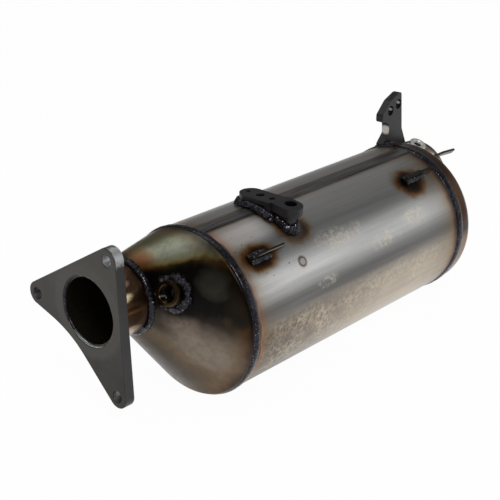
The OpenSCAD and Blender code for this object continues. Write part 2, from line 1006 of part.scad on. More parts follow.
module front_tab_weld() {
  color("#3c3a3c")
    barrel_tab_weld(front_tab_x, front_tab_len, front_tab_clock);
}

module rear_shield_tab() {
  color("#4a4446")
    barrel_tab(rear_tab_start, rear_tab_len, rear_tab_clock);
}

module rear_tab_weld() {
  color("#3c3a3c")
    barrel_tab_weld(rear_tab_start, rear_tab_len, rear_tab_clock);
}

// Frame on the outlet axis with +Z pointing out through the outlet tab
module at_outlet_tab(x) {
  translate([x, outlet_y, outlet_z])
    rotate([outlet_tab_clock - 90, 0, 0])
      children();
}

// Outlet tab before its root is cut to the cone, straight as far as the joint ring
module outlet_tab_blank() {
  straight = 2 * tab_h + outlet_pipe_len;
  at_outlet_tab(outlet_neck_x - 2 * tab_h)
    translate([0, 0, joint_r + outlet_tab_gap])
      upright(tab_t)
        polygon([
          [0, 0],
          [straight, 0],
          [straight + outlet_tab_reach, -outlet_tab_dip],
          [straight + outlet_tab_reach, tab_h - outlet_tab_dip],
          [straight, tab_h],
          [0, tab_h]
        ]);
}

module outlet_shield_tab() {
  color("#4a4446")
    difference() {
      outlet_tab_blank();
      at_outlet_cone()
        cone_form(outlet_form, 0);
    }
}

// Fillets beside the outlet tab's root
module outlet_tab_weld() {
  color("#3c3a3c")
    difference() {
      at_outlet_tab(outlet_neck_x - 2 * tab_h)
        translate([0, -tab_t / 2 - tab_leg, joint_r + outlet_tab_gap])
          cube([2 * tab_h - tab_leg, tab_t + 2 * tab_leg, tab_h - tab_lift]);
      at_outlet_cone()
        cone_form(outlet_form, 0);
      outlet_tab_blank();
    }
}

// Square channels of one parity
module cells(parity) {
  limit = filter_r - filter_skin;
  for (i = [-cell_count : cell_count])
    for (j = [-cell_count : cell_count])
      if (abs(i + j) % 2 == parity
        && norm([abs(i) * cell_pitch + cell_w / 2, abs(j) * cell_pitch + cell_w / 2]) < limit)
        translate([i * cell_pitch - cell_w / 2, j * cell_pitch - cell_w / 2])
          square(cell_w);
}

module filter_monolith() {
  open_len = filter_len - plug_depth;
  color("#b9ac92")
    on_barrel_axis()
      difference() {
        rod(filter_x, filter_x + filter_len, filter_r);
        facing_x(filter_x - over)
          linear_extrude(open_len + over)
            cells(0);
        facing_x(filter_x + plug_depth)
          linear_extrude(open_len + over)
            cells(1);
      }
}

module support_mat() {
  color("#e3ded2")
    on_barrel_axis()
      tube(mat_x, mat_x + mat_len, shell_r, filter_r);
}

module front_retaining_ring() {
  color("#8f8f90")
    on_barrel_axis()
      tube(filter_x, mat_x, shell_r, filter_r);
}

module rear_retaining_ring() {
  color("#8f8f90")
    on_barrel_axis()
      tube(mat_x + mat_len, filter_x + filter_len, shell_r, filter_r);
}

inlet_flange();
inlet_pipe();
inlet_flange_weld();
inlet_bore_weld();
inlet_cone();
inlet_pipe_weld();
inlet_sensor_boss();
inlet_boss_weld();
barrel();
barrel_seam();
front_rim_weld();
rear_rim_weld();
outlet_cone();
outlet_pipe();
outlet_pipe_weld();
outlet_joint_ring();
outlet_ring_weld();
outlet_sensor_boss();
outlet_boss_weld();
front_bracket();
front_bracket_weld();
rear_bracket();
rear_bracket_weld();
front_shield_tab();
front_tab_weld();
rear_shield_tab();
rear_tab_weld();
outlet_shield_tab();
outlet_tab_weld();
filter_monolith();
support_mat();
front_retaining_ring();
rear_retaining_ring();
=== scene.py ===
import json
import math
import random

import bmesh
import bpy
from mathutils import Matrix, Vector, noise


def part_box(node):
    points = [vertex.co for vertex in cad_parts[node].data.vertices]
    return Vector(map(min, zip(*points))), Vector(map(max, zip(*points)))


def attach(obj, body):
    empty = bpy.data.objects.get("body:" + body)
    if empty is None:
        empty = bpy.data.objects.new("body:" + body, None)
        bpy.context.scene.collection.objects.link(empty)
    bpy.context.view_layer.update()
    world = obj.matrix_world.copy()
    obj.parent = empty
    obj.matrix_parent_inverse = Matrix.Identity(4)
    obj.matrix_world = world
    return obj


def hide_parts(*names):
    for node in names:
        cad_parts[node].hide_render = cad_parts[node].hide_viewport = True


# %% [markdown]
# The part is a diesel particulate filter: a steel barrel between two pressed
# cones, with a flanged pipe, two sensor bosses, brackets and weld beads.
# The solids come in as a fixed frame in metres. Everything below is measured
# from their boxes, so a new piece lands where the solid it dresses is.

# %% The frame and its measures
MM = 0.001
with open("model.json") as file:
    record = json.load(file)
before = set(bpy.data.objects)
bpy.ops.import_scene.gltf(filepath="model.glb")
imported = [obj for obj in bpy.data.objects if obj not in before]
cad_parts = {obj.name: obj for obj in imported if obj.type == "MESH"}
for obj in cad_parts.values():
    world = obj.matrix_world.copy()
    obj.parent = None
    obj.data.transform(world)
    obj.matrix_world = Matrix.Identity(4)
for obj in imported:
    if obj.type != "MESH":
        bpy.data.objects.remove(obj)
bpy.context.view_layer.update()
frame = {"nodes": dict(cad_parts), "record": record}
record = frame["record"]
mounts = {mount["name"]: mount for mount in record["mounts"]}


def mount_at(name):
    return Vector(mounts[name]["pos_m"])


barrel_low, barrel_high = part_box("barrel")
FRONT_X, REAR_X = barrel_low.x, barrel_high.x
AXIS = Vector((0, (barrel_low.y + barrel_high.y) / 2, (barrel_low.z + barrel_high.z) / 2))
BARREL_R = (barrel_high.z - barrel_low.z) / 2
pipe_low, pipe_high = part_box("inlet_pipe")
PIPE_R = pipe_high.z
outlet_low, outlet_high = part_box("outlet_pipe")
INLET = Vector((0, 0, 0))
OUTLET = Vector((0, (outlet_low.y + outlet_high.y) / 2, (outlet_low.z + outlet_high.z) / 2))
NECK_X, OUTLET_NECK_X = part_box("inlet_cone")[0].x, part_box("outlet_cone")[1].x
print("barrel", round(FRONT_X, 4), "to", round(REAR_X, 4), "radius", round(BARREL_R, 4))

# %% [markdown]
# A finished bmesh becomes an object in one place. Its normals are made to
# point outwards, faces that meet at a small angle are shaded as one smooth
# skin, and the object is tied to the part's only body. The object stays at
# the origin, so that a pattern on Object coordinates sits in the part's frame.

# %% From bmesh to piece
def to_object(shape, name):
    mesh = bpy.data.meshes.new(name)
    shape.to_mesh(mesh)
    shape.free()
    thing = bpy.data.objects.new(name, mesh)
    bpy.context.scene.collection.objects.link(thing)
    return thing


def keep_piece(shape, name, finish, stands_for=(), crease=35):
    bmesh.ops.recalc_face_normals(shape, faces=shape.faces)
    piece = to_object(shape, name)
    piece.data.materials.append(finish)
    piece.data.shade_smooth()
    piece.data.set_sharp_from_angle(angle=math.radians(crease))
    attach(piece, "root")
    if stands_for:
        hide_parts(*stands_for)
    print(name, len(piece.data.polygons), "faces")


# %% [markdown]
# Every finish is a small node tree. Colours are written as sRGB hex, as a
# colour picker shows them, and turned to the linear values that shaders use.
# One helper adds a node with its options, its sockets and, for a ramp, its
# stops. It hands back an output of the node, the first if none is named. In
# a Map Range node socket 0 is the value, 1 and 2 are the range it comes from
# and 3 and 4 the range it goes to.

# %% Colour and node helpers
BLACK, WHITE = "#000000", "#ffffff"


def linear(code):
    parts = [int(code[i:i + 2], 16) / 255 for i in (1, 3, 5)]
    curve = [p / 12.92 if p <= 0.04045 else ((p + 0.055) / 1.055) ** 2.4 for p in parts]
    return (*curve, 1.0)


def add(tree, kind, sockets=None, stops=None, out=0, **options):
    node = tree.nodes.new("ShaderNode" + kind)
    for option, value in options.items():
        setattr(node, option, value)
    for socket, value in (sockets or {}).items():
        if isinstance(value, bpy.types.NodeSocket):
            tree.links.new(value, node.inputs[socket])
        else:
            node.inputs[socket].default_value = value
    if stops:
        ramp = node.color_ramp.elements
        while len(ramp) < len(stops):
            ramp.new(1.0)
        for element, (place, tone) in zip(ramp, stops):
            element.position = place
            element.color = linear(tone)
    return node.outputs[out] if node.outputs else node


def start_finish(name):
    finish = bpy.data.materials.new(name)
    finish.use_nodes = True
    finish.node_tree.nodes.clear()
    print("finish", name)
    return finish, finish.node_tree


# %% [markdown]
# Heat leaves its mark on stainless steel as rings of oxide colour: straw far
# from the weld, then brown, violet and a dark skin beside it. A painted image
# would fix them to one size. Here each mark is a distance that runs through a
# ramp. A mapping node squeezes space so that an ellipsoid round the weld has
# radius one, and noise frays its edge. The marks go over the ground one by
# one, each through its own mask.

# %% Marks of heat and soot
def ball(size):
    return (size * MM, size * MM, size * MM)


def distance_from(tree, where, centre, reach, lean=(0, 0, 0), fray=0.2, grain=9 * MM):
    local = add(tree, "Mapping", {"Vector": where, "Location": centre, "Rotation": lean, "Scale": reach},
                vector_type="TEXTURE")
    length = add(tree, "VectorMath", {0: local}, out="Value", operation="LENGTH")
    cloud = add(tree, "TexNoise", {"Vector": where, "Scale": 1 / grain, "Detail": 5.0})
    sway = add(tree, "MapRange", {0: cloud, 3: -fray, 4: fray})
    return add(tree, "Math", {0: length, 1: sway}, operation="ADD")


def patch(tree, where, centre, reach, inner, outer, most=1.0, **fraying):
    far = distance_from(tree, where, centre, reach, **fraying)
    return add(tree, "MapRange", {0: far, 1: inner, 2: outer, 3: most, 4: 0.0})


def overlap(tree, *masks):
    shared = masks[0]
    for mask in masks[1:]:
        shared = add(tree, "Math", {0: shared, 1: mask}, operation="MULTIPLY")
    return shared


def tint_beside(tree, near, fade, tones):
    return tuple(add(tree, "ValToRGB", {0: near}, stops=stops) for stops in (fade, tones))


def paint(tree, ground, layers):
    for mask, tone in layers:
        colour = tone if isinstance(tone, bpy.types.NodeSocket) else linear(tone)
        ground = add(tree, "Mix", {0: mask, 6: ground, 7: colour}, out=2, data_type="RGBA")
    return ground


# %% [markdown]
# Many marks run round a shell, so their place is told by a clock angle: 0 on
# the far side, 90 on top, 180 on the near side. The arctangent is taken of
# the offsets turned about, so that its jump lies on the far side, and is
# scaled to run from 0 to 1 over a whole turn. On a cone the middle drifts
# from the barrel's axis to the pipe's.

# %% Clock angle
def clock_turn(tree, axes, drift=0.0):
    offsets = []
    for axis, middle in ((2, AXIS.z), (1, AXIS.y)):
        centre = add(tree, "Math", {0: drift, 1: -middle, 2: middle}, operation="MULTIPLY_ADD")
        offsets.append(add(tree, "Math", {0: centre, 1: axes[axis]}, operation="SUBTRACT"))
    angle = add(tree, "Math", {0: offsets[0], 1: offsets[1]}, operation="ARCTAN2")
    return add(tree, "MapRange", {0: angle, 1: -math.pi, 2: math.pi})


def clock_ramp(tree, turn, tones):
    return add(tree, "ValToRGB", {0: turn}, stops=[(degrees / 360, tone) for degrees, tone in tones])


def clock_band(tree, turn, low, high, soft):
    rise = add(tree, "MapRange", {0: turn, 1: (low - soft) / 360, 2: (low + soft) / 360})
    fall = add(tree, "MapRange", {0: turn, 1: (high - soft) / 360, 2: (high + soft) / 360, 3: 1.0, 4: 0.0})
    return overlap(tree, rise, fall)


def on_barrel(x, clock, height=0.0):
    angle = math.radians(clock)
    spoke = Vector((0, math.cos(angle), math.sin(angle)))
    return Vector((x, AXIS.y, AXIS.z)) + spoke * (BARREL_R + height)


SEAM_CLOCK = 95.5
FRONT_TAB = (FRONT_X + 33 * MM, 132.5)
REAR_TAB = (REAR_X - 38 * MM, 124.0)
BRACKET_X = FRONT_X + 83 * MM
SPOT = (FRONT_X + 75.4 * MM, 146.5)
print("front tab stands at", [round(part, 4) for part in on_barrel(*FRONT_TAB)])

# %% [markdown]
# The barrel is rolled stainless sheet. Its tone runs in bands along it, which
# are painted highlights and painted reflections: a pale edge, a dull top, a
# bright flank and a warm underside. They could be left to lamps alone, but a
# ramp over the clock angle paints each one in place. Towards the inlet a
# painted highlight lies on the top, a brighter one on the flank, and painted
# shade on the underside.

# %% Painted light bands of the barrel
BARREL_LIGHT_BANDS = [
    (0, "#9a9893"), (75, "#a3a19c"), (104, "#bab8b4"), (118, "#b0afad"), (128, "#929292"),
    (138, "#a5a5a4"), (145, "#bebebd"), (153, "#cbcbca"), (160, "#b4b4b3"), (165, "#8f8f8e"),
    (168, "#7a7978"), (172, "#767573"), (176, "#958e85"), (188, "#b6aa9b"), (205, "#bbad9c"),
    (224, "#cac0b2"), (238, "#d4cdc1"), (290, "#a59d92"), (360, "#9a9893")]


def lit_bands(tree, axes, turn):
    head = add(tree, "MapRange", {0: axes[0], 1: FRONT_X + 50 * MM, 2: FRONT_X + 105 * MM, 3: 0.9, 4: 0.0})
    fore = add(tree, "MapRange", {0: axes[0], 1: FRONT_X + 10 * MM, 2: FRONT_X + 190 * MM, 3: 1.0, 4: 0.0})
    # bloom and shine are painted highlights, dim is painted shade
    bloom = overlap(tree, head, clock_band(tree, turn, 105, 122, 4))
    dim = overlap(tree, fore, clock_band(tree, turn, 178, 300, 6))
    shine = overlap(tree, fore, 0.5, clock_band(tree, turn, 142, 159, 5))
    ground = paint(tree, clock_ramp(tree, turn, BARREL_LIGHT_BANDS),
                   [(bloom, "#bcb8b6"), (dim, "#4f453b"), (shine, "#fbfbfa")])
    return ground, bloom


print("barrel bands", len(BARREL_LIGHT_BANDS))

# %% [markdown]
# Rolling leaves lines along the sheet, and handling leaves soft streaks and
# pale blotches. Noise that is stretched along the barrel gives the first two.
# Real rolling lines are far finer than 0.9 mm: they are drawn as coarse as
# they need to be to show in the picture.

# %% Rolling lines and stains of the barrel
def rolling_lines(tree, where):
    lines = add(tree, "Mapping", {"Vector": where, "Scale": (1 / (70 * MM), 1 / (0.9 * MM), 1 / (0.9 * MM))})
    return add(tree, "TexNoise", {"Vector": lines, "Scale": 1.0, "Detail": 2.0})


def stains(tree, where, turn, grain):
    sweep = add(tree, "Mapping", {"Vector": where, "Rotation": (0, 0, math.radians(3)),
                                  "Scale": (1 / (130 * MM), 1 / (7 * MM), 1 / (7 * MM))})
    streaks = add(tree, "TexNoise", {"Vector": sweep, "Scale": 1.0, "Detail": 5.0})
    brushed = add(tree, "MapRange", {0: grain, 1: 0.35, 2: 0.7, 4: 0.13})
    dull = add(tree, "MapRange", {0: streaks, 1: 0.42, 2: 0.72, 4: 0.15})
    sheen = add(tree, "MapRange", {0: streaks, 1: 0.5, 2: 0.28, 4: 0.12})
    blotch = add(tree, "TexNoise", {"Vector": where, "Scale": 1 / (4 * MM), "Detail": 8.0,
                                    "Roughness": 0.75, "Distortion": 0.2})
    flecks = add(tree, "MapRange", {0: blotch, 1: 0.44, 2: 0.58})
    spread = add(tree, "TexNoise", {"Vector": where, "Scale": 1 / (30 * MM), "Detail": 3.0})
    scatter = add(tree, "MapRange", {0: spread, 1: 0.36, 2: 0.60, 3: 0.05, 4: 0.6})
    mottle = overlap(tree, flecks, scatter, clock_band(tree, turn, 178, 216, 5))
    layers = [(brushed, "#4f4e4d"), (dull, "#56544f"), (sheen, "#c2c0bb"), (mottle, "#cfc0a8")]
    for along, clock, reach in ((132, 140.5, (34, 9, 13)), (240, 150, (20, 7, 11)),
                                (190, 156, (26, 7, 9)), (100, 166, (16, 5, 6))):
        centre = on_barrel(FRONT_X + along * MM, clock)
        pale = patch(tree, where, centre, Vector(reach) * MM, 0.5, 1.05, fray=0.7, grain=14 * MM)
        layers.append((overlap(tree, pale, flecks, 0.8), "#dbd3c4"))
    return layers


# %% [markdown]
# The welds at both rims and along the seam tint the sheet beside them. At the
# rims a dark skin turns to copper, a violet line and straw, and a weak brown
# haze reaches further in. The distance from the weld, frayed by noise, picks
# the tone from one ramp and its strength from another.

# %% Heat tints of the rims and the seam
FRONT_RIM = [(0.0, "#141113"), (0.20, "#1d1512"), (0.26, "#7d5433"), (0.30, "#a9744a"),
             (0.34, "#75605f"), (0.39, "#94683f"), (0.6, "#857552"), (1.0, "#8d887e")]
REAR_RIM = [(0.0, "#0f0c0a"), (0.14, "#1a100a"), (0.22, "#4a2c12"), (0.31, "#7d5426"),
            (0.40, "#85693f"), (0.6, "#857558"), (1.0, "#8d887e")]
RIM_FADE = [(0.0, WHITE), (0.30, "#d8d8d8"), (0.42, "#a0a0a0"), (0.65, "#505050"), (1.0, BLACK)]
SEAM_TONES = [(0.0, "#2f2a2b"), (0.16, "#4f4444"), (0.27, "#6e3f2c"), (0.36, "#7d5c46"),
              (0.6, "#857c70"), (1.0, "#8a8782")]
SEAM_FADE = [(0.0, WHITE), (0.25, "#d8d8d8"), (0.45, "#707070"), (1.0, BLACK)]


def rim_tints(tree, axes, fray):
    layers = []
    for rim, away, skin, haze, tones in ((FRONT_X, 1.0, -4.5 * MM, 0.3, FRONT_RIM),
                                         (REAR_X, -1.0, -6.5 * MM, 0.5, REAR_RIM)):
        gap = add(tree, "Math", {0: axes[0], 1: rim}, operation="SUBTRACT")
        gap = add(tree, "Math", {0: gap, 1: away}, operation="MULTIPLY")
        gap = add(tree, "Math", {0: fray, 1: -9 * MM, 2: gap}, operation="MULTIPLY_ADD")
        brown = add(tree, "MapRange", {0: gap, 1: 4 * MM, 2: 48 * MM, 3: haze, 4: 0.0})
        near = add(tree, "MapRange", {0: gap, 1: skin, 2: 26 * MM})
        layers += [(brown, "#6f5f4a"), tint_beside(tree, near, RIM_FADE, tones)]
    return layers


def seam_tint(tree, turn, fray):
    gap = add(tree, "Math", {0: turn, 1: SEAM_CLOCK / 360}, operation="SUBTRACT")
    gap = add(tree, "Math", {0: gap}, operation="ABSOLUTE")
    wavy = add(tree, "Math", {0: fray, 1: 0.004, 2: gap}, operation="MULTIPLY_ADD")
    full_turn = 2 * math.pi * BARREL_R
    beside = add(tree, "MapRange", {0: wavy, 1: 6 * MM / full_turn, 2: 17 * MM / full_turn})
    return [tint_beside(tree, beside, SEAM_FADE, SEAM_TONES)]


# %% [markdown]
# Where tabs and bracket are welded on, the sheet has dark halos with a brown
# and straw border. A spot weld leaves a pale disc in a brown ring. Both are
# ellipsoids that lie on the barrel, turned to its surface.

# %% Halos of the tabs, the bracket and the spot weld
HALO_TONES = [(0.0, "#100c0b"), (0.42, "#18110e"), (0.58, "#3d260e"), (0.72, "#6b4317"),
              (0.86, "#806136"), (1.0, "#8c8270")]
SPOT_TONES = [(0.0, "#a9aeae"), (0.60, "#a3a7a5"), (0.78, "#5f4630"), (0.90, "#75624c"), (1.0, "#94897a")]


def weld_halos(tree, where):
    layers = []
    for centre, reach, clock, most in (
        (on_barrel(FRONT_TAB[0] - 1 * MM, FRONT_TAB[1] + 0.5), (25, 15.5, 15.5), FRONT_TAB[1], 1.0),
        (on_barrel(REAR_TAB[0] - 8 * MM, REAR_TAB[1] + 2), (25, 19, 19), REAR_TAB[1], 1.0),
        (on_barrel(BRACKET_X + 5 * MM, 124.0), (22, 17, 17), 124.0, 0.9),
        (on_barrel(BRACKET_X, 105.0), (19, 34, 34), 105.0, 0.85),
    ):
        lean = (math.radians(clock - 90), 0, 0)
        far = distance_from(tree, where, centre, Vector(reach) * MM, lean, fray=0.22, grain=9 * MM)
        mask = add(tree, "MapRange", {0: far, 1: 0.62, 2: 1.25, 3: most, 4: 0.0},
                   interpolation_type="SMOOTHSTEP")
        layers.append((mask, add(tree, "ValToRGB", {0: far}, stops=HALO_TONES)))
    ring = distance_from(tree, where, on_barrel(*SPOT), ball(5), fray=0.08, grain=3 * MM)
    mask = add(tree, "MapRange", {0: ring, 1: 0.92, 2: 1.3, 3: 0.95, 4: 0.0})
    layers.append((mask, add(tree, "ValToRGB", {0: ring}, stops=SPOT_TONES)))
    return layers


# %% [markdown]
# Now the barrel's finish is put together. Its rolling lines also drive the
# roughness and a very weak bump, so a highlight breaks into fine strokes. The
# painted highlight by the inlet is also less metallic, which keeps it light
# from any side.

# %% Rolled stainless steel of the barrel
def rolled_stainless():
    finish, tree = start_finish("rolled_stainless_steel")
    where = add(tree, "TexCoord", out="Object")
    axes = add(tree, "SeparateXYZ", {0: where}).node.outputs
    turn = clock_turn(tree, axes)
    grain = rolling_lines(tree, where)
    fray = add(tree, "TexNoise", {"Vector": where, "Scale": 1 / (16 * MM), "Detail": 4.0})
    ground, bloom = lit_bands(tree, axes, turn)
    layers = stains(tree, where, turn, grain) + rim_tints(tree, axes, fray)
    layers += seam_tint(tree, turn, fray) + weld_halos(tree, where)
    rough = add(tree, "MapRange", {0: grain, 1: 0.3, 2: 0.7, 3: 0.30, 4: 0.40})
    bump = add(tree, "Bump", {"Height": grain, "Strength": 0.04, "Distance": 0.2 * MM})
    metal = add(tree, "MapRange", {0: bloom, 3: 0.9, 4: 0.35})
    # Satin metal: painted bands of light and dark, with coloured edges at every weld.
    surface = add(tree, "BsdfPrincipled", {"Base Color": paint(tree, ground, layers), "Roughness": rough,
                                           "Metallic": metal, "Normal": bump})
    add(tree, "OutputMaterial", {"Surface": surface})
    return finish


BARREL_STEEL = rolled_stainless()

# %% [markdown]
# The inlet cone is the hottest shell. Its bands are painted reflections in
# heat colours: a pale straw-green fan on top with a sharp lower border, below
# it a near-black band where oxide is overlaid with painted dark reflection,
# and a warm grey underside. Orange brown follows both welds. The fan is a
# clock ramp again, swayed by noise so that its border wanders.

# %% Painted reflection bands and weld browns of the inlet cone
CONE_REFLECTION_BANDS = [
    (0, "#3b3229"), (52, "#5c5038"), (76, "#77704f"), (90, "#959984"), (108, "#9fa290"), (116, "#98966f"),
    (119, "#7a6230"), (121, "#33260f"), (124, "#15110b"), (150, "#0d0b08"), (166, "#100d0a"),
    (175, "#2a2420"), (185, "#665b51"), (197, "#7f7468"), (214, "#7b6e60"), (228, "#5d4d39"),
    (244, "#3b2e20"), (360, "#3b3229")]
CONE_RIM = [(0.0, "#140e0a"), (0.28, "#2b1b0d"), (0.5, "#583a1b"), (0.7, "#62502e"), (1.0, "#6d6248")]
CONE_NECK = [(0.0, "#1f150d"), (0.30, "#4f2f13"), (0.55, "#8f5f26"), (0.75, "#9a7a40"), (1.0, "#9a8a5c")]


def weld_browns(tree, axes, turn, veil):
    neck_gap = add(tree, "Math", {0: veil, 1: -9 * MM, 2: axes[0]}, operation="MULTIPLY_ADD")
    close = add(tree, "MapRange", {0: neck_gap, 1: NECK_X - 5 * MM, 2: NECK_X + 13 * MM})
    neck, neck_tone = tint_beside(tree, close, [(0.0, WHITE), (0.5, "#b8b8b8"), (1.0, BLACK)], CONE_NECK)
    neck = overlap(tree, neck, clock_band(tree, turn, 30, 124, 8))
    rim_gap = add(tree, "Math", {0: veil, 1: 9 * MM, 2: axes[0]}, operation="MULTIPLY_ADD")
    near = add(tree, "MapRange", {0: rim_gap, 1: FRONT_X + 5 * MM, 2: FRONT_X - 9 * MM})
    rim = tint_beside(tree, near, [(0.0, WHITE), (0.45, "#c0c0c0"), (1.0, BLACK)], CONE_RIM)
    return [(neck, neck_tone), rim]


print("cone bands", len(CONE_REFLECTION_BANDS))

# %% [markdown]
# A near-black patch under the sensor boss, heat tint deepened by painted
# dark reflection, and two smaller patches and an orange one by the neck
# break the fan's evenness. They are ellipsoids too.

# %% Tinted stainless steel of the inlet cone
def dark_reflection_and_heat_patches(tree, where):
    layers = []
    for centre, reach, tone, most in (
        (mount_at("inlet_sensor_thread") + Vector((5, -5, -7)) * MM, (28, 28, 22), "#0c0a08", 0.97),
        (Vector((72, -78, 25)) * MM, (12, 17, 14), "#43433a", 0.75),
        (Vector((79, -103, -3)) * MM, (6, 9, 10), "#171512", 0.8),
        (Vector((NECK_X / MM + 9, -14, 34)) * MM, (15, 13, 9), "#8a501f", 0.6),
    ):
        mask = patch(tree, where, centre, Vector(reach) * MM, 0.55, 1.15, most, fray=0.35, grain=12 * MM)
        layers.append((mask, tone))
    return layers


def tinted_stainless():
    finish, tree = start_finish("heat_tinted_stainless_steel")
    where = add(tree, "TexCoord", out="Object")
    axes = add(tree, "SeparateXYZ", {0: where}).node.outputs
    drift = add(tree, "MapRange", {0: axes[0], 1: FRONT_X, 2: NECK_X})
    turn = clock_turn(tree, axes, drift)
    veil = add(tree, "TexNoise", {"Vector": where, "Scale": 1 / (24 * MM), "Detail": 5.0})
    sway = add(tree, "MapRange", {0: veil, 3: -9 / 360, 4: 9 / 360})
    swayed = add(tree, "Math", {0: turn, 1: sway}, operation="ADD")
    level = add(tree, "MapRange", {0: drift, 3: -7 / 360, 4: 0.0})
    swayed = add(tree, "Math", {0: swayed, 1: level}, operation="ADD")
    cloud = add(tree, "TexNoise", {"Vector": where, "Scale": 1 / (7 * MM), "Detail": 6.0, "Roughness": 0.65})
    smoke = add(tree, "MapRange", {0: cloud, 1: 0.45, 2: 0.75, 4: 0.35})
    # The near-black band is painted dark reflection.
    skin = overlap(tree, clock_band(tree, swayed, 125, 166, 3), 0.75)
    layers = [(smoke, "#3a3027"), *weld_browns(tree, axes, turn, veil), (skin, "#0d0b08")]
    colour = paint(tree, clock_ramp(tree, swayed, CONE_REFLECTION_BANDS), layers + dark_reflection_and_heat_patches(tree, where))
    rough = add(tree, "MapRange", {0: cloud, 1: 0.3, 2: 0.7, 3: 0.28, 4: 0.40})
    # Burnt metal: it still shines, but its own colours show through the shine.
    surface = add(tree, "BsdfPrincipled", {"Base Color": colour, "Roughness": rough, "Metallic": 0.88})
    add(tree, "OutputMaterial", {"Surface": surface})
    return finish


CONE_STEEL = tinted_stainless()

# %% [markdown]
# The flange is ground plate. Its face is dull and clouded with a paler ring
# round the bore, and paler towards the top. Its cut edges are brighter, which
# the normal tells. The walls of its bolt holes carry painted glints and one
# corner is rubbed bare. Both marks start just below the face, so the face
# itself stays dull. The grinding lines are drawn coarser than real ones, so
# that they show.

# %% Ground flange steel
WIDE, GLINT_AND_BARE = 400 * MM, "#c4c6c7"


def glints_and_bare_corner(tree, where, axes):
    layers = []
    below_face = add(tree, "MapRange", {0: axes[0], 1: 0.5 * MM, 2: 1.1 * MM})
    # The walls of the bolt holes get painted glints.
    for name, tone in (("side", "#7d8086"), ("lower", "#8d8f92"), ("upper", GLINT_AND_BARE)):
        bolt = mount_at("flange_bolt_" + name)
        wall = patch(tree, where, bolt, (WIDE, 6.2 * MM, 6.2 * MM), 0.97, 1.03, 0.85, fray=0.0)
        layers.append((overlap(tree, wall, below_face), tone))
    corner = mount_at("flange_bolt_upper") + Vector((2, -8, 6)) * MM
    rubbed = Vector((13, 11, 11)) * MM
    bare = patch(tree, where, corner, rubbed, 0.6, 1.05, 0.85, fray=0.5, grain=2.6 * MM)
    return layers + [(overlap(tree, bare, below_face), GLINT_AND_BARE)]


def ground_flange():
    finish, tree = start_finish("ground_flange_steel")
    where = add(tree, "TexCoord", out="Object")
    axes = add(tree, "SeparateXYZ", {0: where}).node.outputs
    cloud = add(tree, "TexNoise", {"Vector": where, "Scale": 1 / (26 * MM), "Detail": 7.0, "Roughness": 0.6})
    share = add(tree, "MapRange", {0: cloud, 1: 0.38, 2: 0.66})
    paler = add(tree, "MapRange", {0: axes[2], 1: -45 * MM, 2: 35 * MM, 4: 0.5})
    marks = add(tree, "Mapping", {"Vector": where, "Rotation": (math.radians(32), 0, 0),
                                  "Scale": (1 / (30 * MM), 1 / (30 * MM), 1 / (1.2 * MM))})
    scratch = add(tree, "TexNoise", {"Vector": marks, "Scale": 1.0, "Detail": 4.0})
    ground_lines = add(tree, "MapRange", {0: scratch, 1: 0.5, 2: 0.75, 4: 0.35})
    halo = patch(tree, where, INLET, (WIDE, 44 * MM, 44 * MM), 0.92, 1.04, 0.55, fray=0.06)
    sideways = add(tree, "SeparateXYZ", {0: add(tree, "TexCoord", out="Normal")})
    facing = add(tree, "Math", {0: sideways}, operation="ABSOLUTE")
    edge = add(tree, "MapRange", {0: facing, 1: 0.9, 2: 0.5, 4: 0.7})
    layers = [(share, "#383632"), (paler, "#54524e"), (ground_lines, "#504e4a"),
              (halo, "#4f4d49"), (edge, "#464647"), *glints_and_bare_corner(tree, where, axes)]
    rough = add(tree, "MapRange", {0: scratch, 1: 0.3, 2: 0.7, 3: 0.34, 4: 0.46})
    bump = add(tree, "Bump", {"Height": scratch, "Strength": 0.06, "Distance": 0.2 * MM})
    # Dull dark plate: the face takes a broad soft light and only its edges glint.
    surface = add(tree, "BsdfPrincipled", {"Base Color": paint(tree, linear("#2f2d2a"), layers),
                                           "Roughness": rough, "Metallic": 0.8, "Normal": bump})
    add(tree, "OutputMaterial", {"Surface": surface})
    return finish


FLANGE_STEEL = ground_flange()

# %% [markdown]
# The other materials share one recipe: a ground colour, a second tone in soft
# clouds of a given size, a roughness that follows them and a fine bump. The
# clouds may be drawn out along the part. A tint is an ellipsoid in which
# another tone takes over, between an inner and an outer share of its reach.
# Specks are painted glints: the highest peaks of a fine noise.

# %% One recipe for the plain materials
SOFT, FIRM, CRISP = (0.65, 1.1, 0.2), (0.8, 1.02, 0.05), (0.98, 1.02, 0.0)


def clouded(name, ground, second, size, metallic, rough, relief, tints=(), drawn=1.0, glint_specks=None):
    finish, tree = start_finish(name)
    where = add(tree, "TexCoord", out="Object")
    local = add(tree, "Mapping", {"Vector": where, "Scale": (1 / (size * drawn), 1 / size, 1 / size)})
    cloud = add(tree, "TexNoise", {"Vector": local, "Scale": 1.0, "Detail": 6.0, "Roughness": 0.65})
    layers = [(add(tree, "MapRange", {0: cloud, 1: 0.35, 2: 0.68}), second)]
    for centre, reach, tone, (inner, outer, fray) in tints:
        layers.append((patch(tree, where, centre, reach, inner, outer, fray=fray), tone))
    if glint_specks:
        dots = add(tree, "TexNoise", {"Vector": where, "Scale": 1 / (1.3 * MM), "Detail": 1.0})
        layers.append((add(tree, "MapRange", {0: dots, 1: 0.69, 2: 0.75}), glint_specks))
    spread = add(tree, "MapRange", {0: cloud, 1: 0.3, 2: 0.7, 3: rough - 0.05, 4: rough + 0.05})
    looks = {"Base Color": paint(tree, linear(ground), layers), "Roughness": spread, "Metallic": metallic}
    if relief:
        fine = add(tree, "TexNoise", {"Vector": where, "Scale": 1 / (1.2 * MM), "Detail": 3.0})
        looks["Normal"] = add(tree, "Bump", {"Height": fine, "Strength": relief, "Distance": 0.3 * MM})
    add(tree, "OutputMaterial", {"Surface": add(tree, "BsdfPrincipled", looks)})
    return finish
